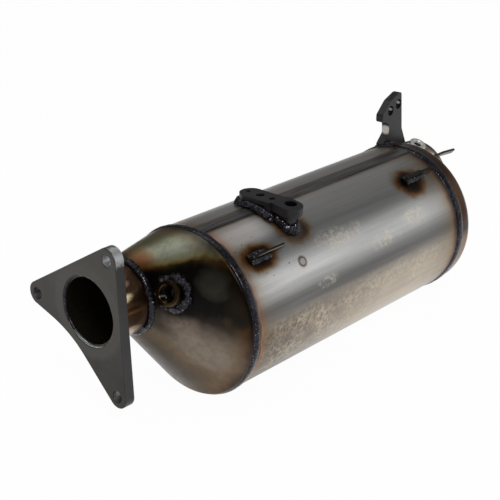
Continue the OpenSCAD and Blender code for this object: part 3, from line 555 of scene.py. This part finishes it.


# %% [markdown]
# The inlet pipe is smooth and brown from heat, with violet, copper and straw
# strokes along it. Each stroke is a long flat tint on its near side: heat
# colours laid out as painted reflections, bright strokes beside dark ones.
# One more tint fills the bore. Weld metal is dark and glassy with scale on it.
# Pale specks are painted glints, set as bare spots where slag has flaked off
# and drawn large enough to show, and a painted pale glint lies on the bead in
# the flange's mouth.

# %% Pipe steel and weld metal
# Heat colours laid out along the near side as painted reflections.
pipe_heat_and_reflection_strokes = [(Vector(place) * MM, (13 * MM, 14 * MM, high * MM), tone, SOFT) for place, high, tone in (
    ((18, -16, 29), 4, "#a5949c"), ((17, -21, 24.5), 3.5, "#dcb296"), ((17, -24, 20.8), 1.6, "#5a4c38"),
    ((14, -28, 15), 4, "#dccba0"), ((24, -31, -2), 11, "#43301e"), ((24, -31, 2), 1.6, "#6b4a2c"),
    ((24, -28, -17), 5, "#b39b84"))]
near_neck = (Vector((42, 0, 5)) * MM, (10 * MM, 60 * MM, 60 * MM), "#4d3524", SOFT)
in_bore = (Vector((24, 0, 0)) * MM, (WIDE, PIPE_R - 1 * MM, PIPE_R - 1 * MM), "#57503f", CRISP)
# Almost a mirror: its bright strokes beside dark ones are painted reflections, as on a round bright pipe.
PIPE_STEEL = clouded("blued_pipe_steel", "#6b523d", "#523c2e", size=16 * MM, metallic=0.92,
                     rough=0.22, relief=0.0, tints=[*pipe_heat_and_reflection_strokes, near_neck, in_bore])
# A painted glint on the bead at the bottom of the flange's mouth.
painted_mouth_glint = (Vector((pipe_low.x, 4 * MM, 2 * MM - PIPE_R)), (5 * MM, 24 * MM, 9 * MM), "#a3adac", SOFT)
# Low roughness with a strong bump: black metal that sparkles on every scale of
# the bead. Pale specks add painted glints.
WELD_METAL = clouded("oxidised_weld_metal", "#17161a", "#3e3c42", size=3 * MM, metallic=0.88,
                     rough=0.22, relief=0.45, tints=[painted_mouth_glint], glint_specks="#a5a6a9")

# %% [markdown]
# The two sensor bosses are turned from bar. The inlet one has browned, and a
# near-black tint swallows everything below a line: painted shade in its bore
# and on its lower sides. The outlet one stayed clean, and painted shade
# darkens only the mouth of its bore.

# %% Boss steels
def sensor_line(mount):
    return mount_at(mount), Vector(mounts[mount]["axis"])


inlet_boss, inlet_line = sensor_line("inlet_sensor_thread")
outlet_boss, outlet_line = sensor_line("outlet_sensor_thread")
# Painted shade in the bore and on the lower sides of the inlet boss.
painted_shade_below = (inlet_boss - inlet_line * 10 * MM, ball(17.2), "#0d0a07", CRISP)
# Smooth browned metal: the rim of the boss draws a thin warm ring.
BOSS_STEEL = clouded("browned_turned_steel", "#4d3a22", "#2b2115", size=7 * MM, metallic=0.92,
                     rough=0.22, relief=0.0, tints=[painted_shade_below])
# Half metallic and pale: the face stays light whatever it reflects.
# The dark tint in the mouth of its bore is painted shade.
BRIGHT_BOSS = clouded("clean_turned_steel", "#cfcecb", "#bdbbb7", size=12 * MM, metallic=0.6,
                      rough=0.4, relief=0.0, tints=[(outlet_boss, ball(5.7), "#35332f", CRISP)])

# %% [markdown]
# The seam was rolled flat after welding, which draws its grain out along the
# barrel. The rear end runs cooler than the front: its shells are tanned, with
# browner places beside the rim weld and a paler patch underneath. Pale places
# on top and round the boss are painted highlights.

# %% Seam and rear shells
# Stretched clouds: a dull ribbon with light and dark threads along it.
SEAM_STEEL = clouded("planished_seam_steel", "#3a3837", "#868381", size=1.7 * MM, metallic=0.88,
                     rough=0.34, relief=0.06, drawn=40)
rear_top = Vector((REAR_X + 34 * MM, OUTLET.y, OUTLET.z + 34 * MM))
# Painted highlights on top and round the boss, heat brown by the rim weld, and a paler patch underneath.
rear_tints = [
    (rear_top, (34 * MM, 52 * MM, 22 * MM), "#8c8178", SOFT),
    (outlet_boss + Vector((12, -14, -8)) * MM, ball(24), "#c0b09d", SOFT),
    (on_barrel(REAR_X + 7 * MM, 146), (12 * MM, 40 * MM, 40 * MM), "#4f321a", SOFT),
    (on_barrel(REAR_X + 12 * MM, 204), (14 * MM, 40 * MM, 36 * MM), "#87715f", SOFT)]
# Satin tan metal: broad soft patches with no hard edge.
REAR_STEEL = clouded("tanned_stainless_steel", "#5a4a3e", "#382f2a", size=18 * MM, metallic=0.88,
                     rough=0.32, relief=0.04, tints=rear_tints)

# %% [markdown]
# The brackets are thick plate with a black coat, and the shield tabs are dark
# sheet. Most holes look black inside, with a small glint where light comes
# through. Lamps small enough to do this would spoil the soft light elsewhere,
# so tints of painted shade and painted glints stand in the holes. One edge of
# the front tab carries a painted highlight.

# %% Bracket and tab steels
EYE = mount_at("front_bracket_eye")
notch_low, notch_high = [Vector(corner) for corner in record["physics"]["openings"][2]["box_m"]]
notch_wall = (notch_low + notch_high) / 2 + Vector((5, 0, -1.5)) * MM
bracket_tints = [(notch_wall, (2.4 * MM, 9 * MM, 5 * MM), "#d5d0c4", SOFT)]
# Painted shade in each hole of the rear bracket, with a painted glint on its far wall.
for name in ("rear_bracket_front_hole", "rear_bracket_rear_hole"):
    glint = mount_at(name) + Vector((5, 0, 0)) * MM
    bracket_tints += [(mount_at(name), ball(6.5), "#060606", CRISP),
                      (glint, (2.6 * MM, 2.6 * MM, 1.7 * MM), "#b2b4b6", SOFT)]
blind_z = AXIS.z + BARREL_R + 7 * MM
blind_holes = [(Vector((BRACKET_X, AXIS.y + across * MM, blind_z)), radius)
               for across, radius in ((7, 2.25), (-7.8, 4), (-21.8, 3))]
# Painted shade in the blind holes and the eye.
for place, radius in [*blind_holes, (EYE, 5.75)]:
    bracket_tints.append((place, Vector((radius + 2, radius + 2, 3.6)) * MM, "#050505", CRISP))
# Half metallic and slightly grainy: black, with a grey bloom where it turns to the light.
BRACKET_STEEL = clouded("black_phosphated_steel", "#1b191b", "#2b282b", size=9 * MM, metallic=0.45,
                        rough=0.40, relief=0.12, tints=bracket_tints)
# A painted highlight along the top edge of the front tab.
tab_edge = on_barrel(FRONT_X + 46 * MM, FRONT_TAB[1] + 0.8, 7 * MM)
painted_edge_highlight = (tab_edge, (22 * MM, 0.6 * MM, 0.6 * MM), "#b0a48d", FIRM)
# Dark satin sheet: thin strips that read as outlines against the bright barrel.
TAB_STEEL = clouded("dark_sheet_steel", "#2a2626", "#403a37", size=6 * MM, metallic=0.8,
                    rough=0.34, relief=0.06, tints=[painted_edge_highlight])

# %% [markdown]
# The filter, its mat and the wire rings sit inside and show only when the
# part is taken apart. They are dry, matt materials. The wire's real knit is
# finer than the clouds that stand for it, which are coarse enough to show.

# %% Filter, mat and wire
# No metal and nearly full roughness: chalky, without any highlight.
FILTER_CERAMIC = clouded("sooted_filter_ceramic", "#7d766b", "#4b4742", size=10 * MM, metallic=0.0,
                         rough=0.9, relief=0.3)
# The same, paler and rougher: a felt.
MAT_FIBRE = clouded("ceramic_fibre_mat", "#d9d5ca", "#bfb9ab", size=4 * MM, metallic=0.0,
                    rough=0.95, relief=0.5)
# Rough metal with a strong bump: a dull glitter.
RING_MESH = clouded("knitted_wire", "#77777a", "#4f4f52", size=2 * MM, metallic=0.8,
                    rough=0.5, relief=0.6)

# %% [markdown]
# Solids whose shape is already right keep their mesh and only take a finish.

# %% Finishes on the solids
for node, finish in (
    ("barrel", BARREL_STEEL), ("barrel_seam", SEAM_STEEL), ("inlet_pipe", PIPE_STEEL),
    ("outlet_pipe", REAR_STEEL), ("filter_monolith", FILTER_CERAMIC), ("support_mat", MAT_FIBRE),
    ("front_retaining_ring", RING_MESH), ("rear_retaining_ring", RING_MESH),
):
    solid = frame["nodes"][node]
    solid.data.materials.clear()
    solid.data.materials.append(finish)
    print(node, "wears", finish.name)

# %% [markdown]
# A pressed cone is round at both ends but its neck sits to one side. A loft
# between circles would do, but it gives no say in the shoulder. Here a spin
# makes a tube whose rows are one unit apart. Each vertex then slides to its
# place on the pressed form: along a straight side, round the shoulder and
# down the lip. Solidify gives the sheet its wall, and the faces under a boss
# are taken out first.

# %% The pressed form
CONE_WALL, SLIP = 2 * MM, 0.15 * MM
NECK_R = PIPE_R + SLIP + CONE_WALL
SIDE_ROWS, ROUND_ROWS, CONE_STEPS = 28, 8, 192


def cone_side(form, angle):
    offset, length, lip, corner = form
    rise = BARREL_R - corner - offset * math.cos(angle) - NECK_R
    tilt = math.atan2(rise, length - lip) + math.asin(corner / math.hypot(rise, length - lip))
    return tilt, Vector((-length, offset + NECK_R * math.cos(angle), NECK_R * math.sin(angle)))


def shoulder(form, angle, lean):
    lip, corner = form[2:]
    radius = BARREL_R - corner + corner * math.cos(lean)
    return Vector((-lip - corner * math.sin(lean), radius * math.cos(angle), radius * math.sin(angle)))


def cone_place(form, angle, row):
    tilt, neck = cone_side(form, angle)
    if row <= SIDE_ROWS:
        return neck.lerp(shoulder(form, angle, tilt), row / SIDE_ROWS)
    if row <= SIDE_ROWS + ROUND_ROWS:
        return shoulder(form, angle, tilt * (1 - (row - SIDE_ROWS) / ROUND_ROWS))
    return Vector((0, BARREL_R * math.cos(angle), BARREL_R * math.sin(angle)))


print("neck radius", round(NECK_R, 5))

# %% [markdown]
# Both cones come from this form. A form lists the neck's offset, the length,
# the lip and the corner radius. Its place turns the offset to where the pipe
# is, and the rear one is mirrored.

# %% Pressed cones
def pressed_cone(name, node, form, place, boss, finish):
    shape = bmesh.new()
    profile = [shape.verts.new((row, 1, 0)) for row in range(SIDE_ROWS + ROUND_ROWS + 2)]
    spine = [shape.edges.new(pair) for pair in zip(profile, profile[1:])]
    bmesh.ops.spin(shape, geom=profile + spine, cent=(0, 0, 0), axis=(1, 0, 0),
                   angle=2 * math.pi, steps=CONE_STEPS, use_merge=True)
    for vert in shape.verts:
        vert.co = place @ cone_place(form, math.atan2(vert.co.z, vert.co.y), round(vert.co.x))
    foot, line, radius = boss
    under = [face for face in shape.faces
             if (face.calc_center_median() - foot).cross(line).length < radius
             and (face.calc_center_median() - foot).length < 3 * radius]
    bmesh.ops.delete(shape, geom=under, context="FACES")
    bmesh.ops.recalc_face_normals(shape, faces=shape.faces)
    bmesh.ops.solidify(shape, geom=shape.faces[:], thickness=CONE_WALL)
    keep_piece(shape, name, finish, (node,))


def offset_of(gap):
    return math.hypot(gap.y, gap.z), math.atan2(gap.z, gap.y)


inlet_offset, inlet_clock = offset_of(-AXIS)
outlet_offset, outlet_clock = offset_of(OUTLET - AXIS)
INLET_FORM = (inlet_offset, FRONT_X - NECK_X, 1 * MM, 3.5 * MM)
OUTLET_FORM = (outlet_offset, OUTLET_NECK_X - REAR_X, 16 * MM, 10 * MM)
INLET_PLACE = Matrix.Translation((FRONT_X, AXIS.y, AXIS.z)) @ Matrix.Rotation(inlet_clock, 4, "X")
OUTLET_PLACE = (Matrix.Translation((REAR_X, AXIS.y, AXIS.z)) @ Matrix.Rotation(outlet_clock, 4, "X")
                @ Matrix.Scale(-1, 4, (1, 0, 0)))
pressed_cone("inlet_cone_pressed", "inlet_cone", INLET_FORM, INLET_PLACE,
             (inlet_boss, inlet_line, 9 * MM), CONE_STEEL)
pressed_cone("outlet_cone_pressed", "outlet_cone", OUTLET_FORM, OUTLET_PLACE,
             (outlet_boss, outlet_line, 7 * MM), REAR_STEEL)

# %% [markdown]
# A weld bead laid by a turning machine is a ring of small overlapping scales.
# Half an ellipse is spun round the axis in many steps, and each vertex is
# then lifted by a scallop that bows across the bead, with a little noise. A
# bump could draw the scales, but would leave the bead's outline smooth. The
# two rim beads sit a little behind the middle of the joints that they cover.

# %% Ring beads
def half_ellipse(half, high, section):
    leans = [math.pi * k / section for k in range(section + 1)]
    return [(half * math.cos(lean), high * math.sin(lean)) for lean in leans]


def spin_outline(shape, points, axis, steps, centre=(0, 0, 0)):
    rim = [shape.verts.new(point) for point in points]
    loop = [shape.edges.new(pair) for pair in zip(rim, rim[1:] + rim[:1])]
    bmesh.ops.spin(shape, geom=rim + loop, cent=centre, axis=axis,
                   angle=2 * math.pi, steps=steps, use_merge=True)


def scallop(along, across, pitch):
    return abs(math.sin(math.pi * (along / pitch + 0.45 * across * across)))


def ring_bead(node, line, x, radius, width, height, pitch, lump, base=0.4 * MM, section=12):
    centre = line + Vector((x, 0, 0))
    shape = bmesh.new()
    outline = [centre + Vector((along, radius - base + up, 0))
               for along, up in half_ellipse(width / 2, height + base, section)]
    spin_outline(shape, outline, (1, 0, 0), round(2 * math.pi * radius / (pitch / 4)), centre)
    for vert in shape.verts:
        spoke = vert.co - centre
        across = 2 * spoke.x / width
        spoke.x = 0
        lift = max(0.0, spoke.length - radius) / height
        along = math.atan2(spoke.z, spoke.y) * radius
        wave = 0.13 * height * (scallop(along, across, pitch) - 0.6)
        swell = lump * (noise.noise(vert.co / (8 * MM)) + 0.5 * noise.noise(vert.co / (3 * MM)))
        vert.co += spoke.normalized() * lift * (wave + swell - 0.1 * height)
        vert.co.x += lump * noise.noise(vert.co / (9 * MM) + Vector((7, 3, 1)))
    keep_piece(shape, node.replace("_weld", "_bead"), WELD_METAL, (node,), 50)


rim_low, rim_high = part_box("front_rim_weld")
RIM_W = rim_high.x - rim_low.x
RIM_H = (rim_high.z - rim_low.z) / 2 - BARREL_R
for node, line, x, radius, width, height, pitch, lump in (
    ("front_rim_weld", AXIS, FRONT_X + 2.5 * MM, BARREL_R, RIM_W + 1.5 * MM, RIM_H, 2.4 * MM, 0.25 * MM),
    ("rear_rim_weld", AXIS, REAR_X + 3.5 * MM, BARREL_R, 10.5 * MM, RIM_H, 2.4 * MM, 0.25 * MM),
    ("inlet_pipe_weld", INLET, NECK_X, PIPE_R, 9.4 * MM, 4.2 * MM, 3.4 * MM, 0.7 * MM),
    ("outlet_pipe_weld", OUTLET, OUTLET_NECK_X, PIPE_R, 9.4 * MM, 4.2 * MM, 3.4 * MM, 0.7 * MM),
):
    ring_bead(node, line, x, radius, width, height, pitch, lump)

# %% [markdown]
# The flange, the brackets, the tabs and the joint ring have slightly rounded
# edges, which is what catches the light. They could be built again, but their
# solids are right, so a copy of each is merged, its flat faces are joined and
# its sharp edges are bevelled.

# %% Plate parts with eased edges
def solid_copy(node):
    shape = bmesh.new()
    shape.from_mesh(frame["nodes"][node].data)
    bmesh.ops.remove_doubles(shape, verts=shape.verts, dist=0.001 * MM)
    return shape


def eased_copy(name, node, finish, radius, sharp=28):
    shape = solid_copy(node)
    bmesh.ops.dissolve_limit(shape, angle_limit=math.radians(1), verts=shape.verts, edges=shape.edges)
    edges = [edge for edge in shape.edges
             if edge.is_manifold and edge.calc_face_angle() > math.radians(sharp)]
    bmesh.ops.bevel(shape, geom=edges, offset=radius, offset_type="OFFSET", affect="EDGES",
                    segments=2, profile=0.5, material=-1, clamp_overlap=True)
    keep_piece(shape, name, finish, (node,), 18)


for node, finish, slot, radius in (
    ("inlet_flange", FLANGE_STEEL, "flange_steel", 0.7 * MM),
    ("front_bracket", BRACKET_STEEL, "bracket_steel", 0.8 * MM),
    ("rear_bracket", BRACKET_STEEL, "bracket_steel", 0.6 * MM),
    ("front_shield_tab", TAB_STEEL, "tab_steel", 0.3 * MM),
    ("rear_shield_tab", TAB_STEEL, "tab_steel", 0.3 * MM),
    ("outlet_shield_tab", TAB_STEEL, "tab_steel", 0.3 * MM),
    ("outlet_joint_ring", REAR_STEEL, "rear_cone_steel", 0.4 * MM),
):
    eased_copy(node + "_eased", node, finish, radius)

# %% [markdown]
# A sensor boss is turned from bar. Its outline is spun round its own axis,
# and the thread is a small ridge spun with a rise at every step, so that it
# climbs the bore as a real thread does. Both are then laid on the axis that
# the part's record gives for the sensor.

# %% Turned bosses with threads
def lathe(shape, outline, steps=72):
    spin_outline(shape, [(radius, 0, height) for radius, height in outline], (0, 0, 1), steps)


def thread_ridge(shape, radius, depth, pitch, low, turns, steps=48):
    start = [shape.verts.new((radius, 0, low)), shape.verts.new((radius - depth, 0, low + pitch / 2)),
             shape.verts.new((radius, 0, low + pitch))]
    edges = [shape.edges.new((start[0], start[1])), shape.edges.new((start[1], start[2]))]
    bmesh.ops.spin(shape, geom=start + edges, cent=(0, 0, 0), axis=(0, 0, 1), angle=2 * math.pi * turns,
                   steps=steps * turns, dvec=(0, 0, pitch / steps))


def along_line(foot, line):
    return Matrix.Translation(foot) @ line.to_track_quat("Z", "Y").to_matrix().to_4x4()


def turned_boss(name, node, mount, middle, outer, seat, rise, pitch, finish):
    core = mounts[mount]["dims"]["r_mm"] * MM
    groove = core + 0.6 * pitch
    foot, line = sensor_line(mount)
    shape = bmesh.new()
    edge = 1 * MM
    lathe(shape, [
        (groove, -seat), (outer - 0.4 * MM, -seat), (outer, -seat + 0.4 * MM), (outer, rise - edge),
        (outer - 0.3 * edge, rise - 0.3 * edge), (outer - edge, rise), (groove + edge, rise),
        (groove, rise - edge)])
    turns = int((rise + seat - 1.6 * MM) / pitch)
    thread_ridge(shape, groove, 0.6 * pitch, pitch, -seat + 0.3 * MM, turns)
    bmesh.ops.remove_doubles(shape, verts=shape.verts, dist=0.001 * MM)
    bmesh.ops.transform(shape, matrix=along_line(foot - line * middle, line), verts=shape.verts)
    keep_piece(shape, name, finish, (node,))


INLET_MIDDLE = 6 * MM
turned_boss("inlet_boss_turned", "inlet_sensor_boss", "inlet_sensor_thread", middle=INLET_MIDDLE,
            outer=11.5 * MM, seat=7 * MM, rise=12 * MM, pitch=1.5 * MM,
            finish=BOSS_STEEL)
turned_boss("outlet_boss_turned", "outlet_sensor_boss", "outlet_sensor_thread", middle=0,
            outer=9 * MM, seat=9 * MM, rise=6 * MM, pitch=1.25 * MM,
            finish=BRIGHT_BOSS)

# %% [markdown]
# The bosses were welded by hand, in short overlapping blobs. The bead is a
# spun half ellipse round the cone's own normal. A slow scallop parts the
# blobs and two sizes of noise make their faces rough. No dark bead shows
# round the clean outlet boss, so its bead wears the boss's bright finish.

# %% Hand-laid beads round the bosses
def cone_normal(form, place, angle):
    tilt = cone_side(form, angle)[0]
    side = Vector((-math.sin(tilt), math.cos(tilt) * math.cos(angle), math.cos(tilt) * math.sin(angle)))
    return (place.to_3x3() @ side).normalized()


def boss_bead(name, node, foot, normal, outer, width, height, blobs, rough, finish,
              section=16, steps=220, sunk=1.2 * MM):
    shape = bmesh.new()
    half = half_ellipse(width, height + sunk, section)
    lathe(shape, [(outer + across, up - sunk) for across, up in half], steps)
    for vert in shape.verts:
        around = math.atan2(vert.co.y, vert.co.x)
        lift = max(0.0, vert.co.z) / height
        blob = abs(math.sin(blobs * around / 2 + 0.6 * math.sin(2 * around)))
        coarse = noise.noise(vert.co / (4 * MM)) + 0.6 * noise.noise(vert.co / (1.7 * MM))
        spoke = Vector((vert.co.x, vert.co.y, 0)).normalized()
        reach = (vert.co.xy.length - outer) / width
        vert.co.z += lift * height * (0.32 * blob - 0.3 + rough * coarse)
        vert.co += spoke * width * max(0.0, reach) * (0.3 * blob - 0.22 + 0.7 * rough * coarse)
    bmesh.ops.transform(shape, matrix=along_line(foot, normal), verts=shape.verts)
    keep_piece(shape, name, finish, (node,), 60)


INLET_BOSS_CLOCK, OUTLET_BOSS_CLOCK = math.radians(154.5), math.radians(97)
boss_bead("inlet_boss_bead", "inlet_boss_weld", inlet_boss - inlet_line * INLET_MIDDLE,
          cone_normal(INLET_FORM, INLET_PLACE, INLET_BOSS_CLOCK - inlet_clock),
          outer=11.2 * MM, width=6.4 * MM, height=6.2 * MM, blobs=7, rough=0.3,
          finish=WELD_METAL)
boss_bead("outlet_boss_bead", "outlet_boss_weld", outlet_boss,
          cone_normal(OUTLET_FORM, OUTLET_PLACE, OUTLET_BOSS_CLOCK - outlet_clock),
          outer=9 * MM, width=2.4 * MM, height=1.3 * MM, blobs=9, rough=0.12,
          finish=BRIGHT_BOSS)

# %% [markdown]
# The beads along the brackets and tabs follow awkward corners. The plain
# fillet solids already lie there, so a voxel remesh of a copy turns each into
# an even skin that can be moved vertex by vertex.

# %% Even skins of the fillets
def remeshed(node, voxel):
    blank = to_object(solid_copy(node), "fillet_copy")
    mesh = blank.data
    skin = blank.modifiers.new("voxels", "REMESH")
    skin.mode, skin.voxel_size = "VOXEL", voxel
    even = bpy.data.meshes.new_from_object(blank.evaluated_get(bpy.context.evaluated_depsgraph_get()))
    shape = bmesh.new()
    shape.from_mesh(even)
    bpy.data.objects.remove(blank)
    bpy.data.meshes.remove(mesh)
    bpy.data.meshes.remove(even)
    return shape


# %% [markdown]
# Smoothing takes the voxel steps out of the skin. Its outer side then grows
# and noise raises the ripples, while its inner side sinks into the barrel, so
# that no gap shows. The front bracket's bead is the heaviest: it also climbs
# away from the barrel and leans on the bracket as it climbs.

# %% Hand-laid beads along the brackets and tabs
SUNK, LEAN, SMOOTHING = 0.6 * MM, 11 * MM, 8


def fillet_bead(name, node, grow, swell, climb, voxel=0.6 * MM):
    shape = remeshed(node, voxel)
    for _ in range(SMOOTHING):
        bmesh.ops.smooth_vert(shape, verts=shape.verts, factor=0.5,
                              use_axis_x=True, use_axis_y=True, use_axis_z=True)
    shape.normal_update()
    for vert in shape.verts:
        lump = noise.noise(vert.co / (3.2 * MM)) + 0.5 * noise.noise(vert.co / (1.5 * MM))
        spoke = vert.co - Vector((vert.co.x, AXIS.y, AXIS.z))
        outward = vert.normal.dot(spoke) > 0
        vert.co += vert.normal * (grow + swell * lump if outward else SUNK)
        rise = climb * max(0.0, spoke.length - BARREL_R)
        spine = Vector((BRACKET_X, max(vert.co.y, EYE.y), vert.co.z))
        vert.co += spoke.normalized() * rise + (spine - vert.co) * rise / LEAN
    keep_piece(shape, name, WELD_METAL, (node,), 70)


for node, grow, swell, climb in (
    ("front_bracket_weld", 3.0 * MM, 0.9 * MM, 0.8),
    ("rear_bracket_weld", 0.5 * MM, 0.4 * MM, 0.0),
    ("front_tab_weld", 1.3 * MM, 0.9 * MM, 0.0),
    ("rear_tab_weld", 1.2 * MM, 0.8 * MM, 0.0),
    ("outlet_tab_weld", 0.4 * MM, 0.4 * MM, 0.0),
):
    fillet_bead(node.replace("_weld", "_bead"), node, grow, swell, climb)

# %% [markdown]
# Small things that tell of the making: a spot weld's flat button on the
# barrel and droplets of spatter that froze near the tab. Each droplet is a
# squashed icosphere, and a seeded draw scatters them the same way each run.

# %% Spot weld and spatter
def barrel_frame(x, clock):
    foot = on_barrel(x, clock)
    return along_line(foot, (foot - Vector((x, AXIS.y, AXIS.z))).normalized())


BUTTON = ((0.05, -0.3), (3.6, -0.3), (3.5, 0.05), (3, 0.3), (2.2, 0.34), (0.05, 0.2))
button = bmesh.new()
lathe(button, [(radius * MM, height * MM) for radius, height in BUTTON], 48)
bmesh.ops.transform(button, matrix=barrel_frame(*SPOT), verts=button.verts)
keep_piece(button, "spot_weld_button", BARREL_STEEL)

DROPS, FLATTEN = 16, Matrix.Scale(0.6, 4, (0, 0, 1))
draw = random.Random(11)
spatter = bmesh.new()
for _ in range(DROPS):
    size = draw.uniform(0.3, 0.6) * MM
    drop = bmesh.ops.create_icosphere(spatter, subdivisions=2, radius=size)["verts"]
    place = barrel_frame(FRONT_X + draw.uniform(8, 60) * MM, draw.uniform(112, 150))
    bmesh.ops.transform(spatter, matrix=place @ FLATTEN, verts=drop)
keep_piece(spatter, "weld_spatter", WELD_METAL)

# %% [markdown]
# Two more ring beads only show from behind. A last one seals the pipe's end
# inside the flange's mouth. It faces inwards, so its half ellipse is spun the
# other way up, and noise moves it along the pipe only, which leaves the bore
# clear.

# %% Remaining ring beads
FLANGE_BACK, RING_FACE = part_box("inlet_flange")[1].x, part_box("outlet_joint_ring")[0].x
ring_bead("inlet_flange_weld", INLET, FLANGE_BACK, PIPE_R,
          width=7 * MM, height=3.2 * MM, pitch=2.6 * MM, lump=0.4 * MM)
ring_bead("outlet_ring_weld", OUTLET, RING_FACE, PIPE_R,
          width=4.6 * MM, height=2.2 * MM, pitch=2.2 * MM, lump=0.25 * MM)
mouth = bmesh.new()
outline = [(pipe_low.x - 0.2 * MM + along, PIPE_R + 0.1 * MM - up, 0)
           for along, up in half_ellipse(1.7 * MM, 1.6 * MM, 8)]
spin_outline(mouth, outline, (1, 0, 0), 300)
for vert in mouth.verts:
    inward = max(0.0, PIPE_R - vert.co.yz.length)
    vert.co += noise.noise(vert.co / (2.5 * MM)) * 0.3 * inward * Vector((1, 0, 0))
keep_piece(mouth, "inlet_bore_bead", WELD_METAL, ("inlet_bore_weld",), 60)

# %% [markdown]
# The stage is a white floor and a white surround. The floor shows white to
# the camera and to mirror-like metal but keeps a soft shadow: a light path
# node tells those looks apart from the bounces that light the part.

# %% Floor
def stage_sheet(sheet, name, finish):
    thing = to_object(sheet, name)
    thing.data.materials.append(finish)
    return thing


def flat_card(name, place, size, finish):
    card = bmesh.new()
    bmesh.ops.create_grid(card, x_segments=1, y_segments=1, size=0.5)
    bmesh.ops.scale(card, vec=(size[0], size[1], 1), verts=card.verts)
    bmesh.ops.transform(card, matrix=place, verts=card.verts)
    return stage_sheet(card, name, finish)


def seen_share(tree):
    path = add(tree, "LightPath").node.outputs
    seen = add(tree, "Math", {0: path["Is Camera Ray"], 1: path["Is Glossy Ray"]}, operation="MAXIMUM")
    return add(tree, "Math", {0: seen, 1: path["Is Transmission Ray"]}, operation="MAXIMUM")


FLOOR_GLOW, FLOOR_SIZE, STAGE_X = 0.97, (12, 12), 0.2
FLOOR_Z = rim_low.z - 0.3 * MM
floor_finish, tree = start_finish("white_floor_board")
board = add(tree, "BsdfDiffuse", {"Color": linear("#f4f4f4")})
glow = add(tree, "Emission", {"Color": linear(WHITE), "Strength": 1.0})
share = add(tree, "Math", {0: seen_share(tree), 1: FLOOR_GLOW}, operation="MULTIPLY")
# Mostly glow: a white sheet on which only the part's shadow is left.
add(tree, "OutputMaterial", {"Surface": add(tree, "MixShader", {0: share, 1: board, 2: glow})})
flat_card("white_floor", Matrix.Translation((STAGE_X, 0, FLOOR_Z)), FLOOR_SIZE, floor_finish)
print("floor at", round(FLOOR_Z, 4))

# %% [markdown]
# Bright steel looks like what stands round it, so a grey room, two white
# boards and a dark strip on the floor are put there for reflections alone.
# The camera does not see them, and they throw neither light nor shadow.

# %% Reflected room
ROOM, BOARD_FAR = 6.0, 2.4


def glowing(name, tone):
    finish, tree = start_finish(name)
    glow = add(tree, "Emission", {"Color": linear(tone), "Strength": 1.0})
    add(tree, "OutputMaterial", {"Surface": glow})
    return finish


def only_reflected(thing):
    thing.visible_camera = thing.visible_diffuse = thing.visible_shadow = False
    thing.visible_transmission = thing.visible_volume_scatter = False


def leaning_board(name, bearing, rise, size, finish):
    aim = Vector((math.cos(rise) * math.cos(bearing), math.cos(rise) * math.sin(bearing), math.sin(rise)))
    only_reflected(flat_card(name, along_line(aim * BOARD_FAR, -aim), size, finish))


room = bmesh.new()
bmesh.ops.create_cube(room, size=ROOM)
bmesh.ops.translate(room, vec=(STAGE_X, 0, FLOOR_Z + ROOM / 2), verts=room.verts)
bottom = min(room.faces, key=lambda face: face.calc_center_median().z)
bmesh.ops.delete(room, geom=[bottom], context="FACES_ONLY")
only_reflected(stage_sheet(room, "grey_room", glowing("grey_studio_wall", "#7c7c7c")))
strip_place = Matrix.Translation((0.35, -0.56, FLOOR_Z + 1 * MM))
only_reflected(flat_card("dark_strip", strip_place, (2.4, 0.26), glowing("black_felt", "#202020")))
WHITE_BOARD = glowing("white_board", "#f2f2f2")
leaning_board("side_board", math.radians(-46), math.radians(15), (3.4, 1.0), WHITE_BOARD)
leaning_board("top_board", math.radians(125), math.radians(62), (1.6, 1.2), WHITE_BOARD)

# %% [markdown]
# The surround is plain white, a little weaker where it only lights the part,
# and two softboxes give the steel its highlights.

# %% Surround and lamps
SKY_LIGHT = 0.55
surround = bpy.data.worlds.new("white_surround")
surround.use_nodes = True
tree = surround.node_tree
tree.nodes.clear()
level = add(tree, "MapRange", {0: seen_share(tree), 3: SKY_LIGHT, 4: 1.0})
sky = add(tree, "Background", {"Color": linear(WHITE), "Strength": level})
add(tree, "OutputWorld", {"Surface": sky})
bpy.context.scene.world = surround
bpy.context.scene.view_settings.view_transform = "Standard"


def soft_lamp(name, place, width, height, power, target=(STAGE_X, 0, 0)):
    lamp = bpy.data.lights.new(name, "AREA")
    lamp.shape, lamp.size, lamp.size_y, lamp.energy = "RECTANGLE", width, height, power
    stand = bpy.data.objects.new(name, lamp)
    stand.location = place
    stand.rotation_euler = (Vector(target) - Vector(place)).to_track_quat("-Z", "Y").to_euler()
    bpy.context.scene.collection.objects.link(stand)
    print(name, power, "watts")


soft_lamp("key_softbox", (-0.5, -1.3, 1.5), width=0.6, height=0.4, power=13)
soft_lamp("top_softbox", (0.4, 0.5, 1.7), width=1.4, height=0.7, power=4)

# %% [markdown]
# The camera stands where the photograph was taken from: a short distance off,
# to the left of the inlet and a little above, with a long lens.

# %% Camera
CAMERA_PLACE = Vector((-542.9, -684.6, 422.3)) * MM
AZIMUTH, ELEVATION, LENS, SENSOR = 42.54, 22.96, 81.77, 36
turn, drop = math.radians(AZIMUTH), math.radians(ELEVATION)
aim = Vector((math.cos(turn) * math.cos(drop), math.sin(turn) * math.cos(drop), -math.sin(drop)))
view = bpy.data.cameras.new("photo_camera")
view.lens, view.sensor_width = LENS, SENSOR
camera = bpy.data.objects.new("photo_camera", view)
camera.location = CAMERA_PLACE
camera.rotation_euler = aim.to_track_quat("-Z", "Y").to_euler()
bpy.context.scene.collection.objects.link(camera)
bpy.context.scene.camera = camera
print("camera looks along", [round(part, 3) for part in aim])
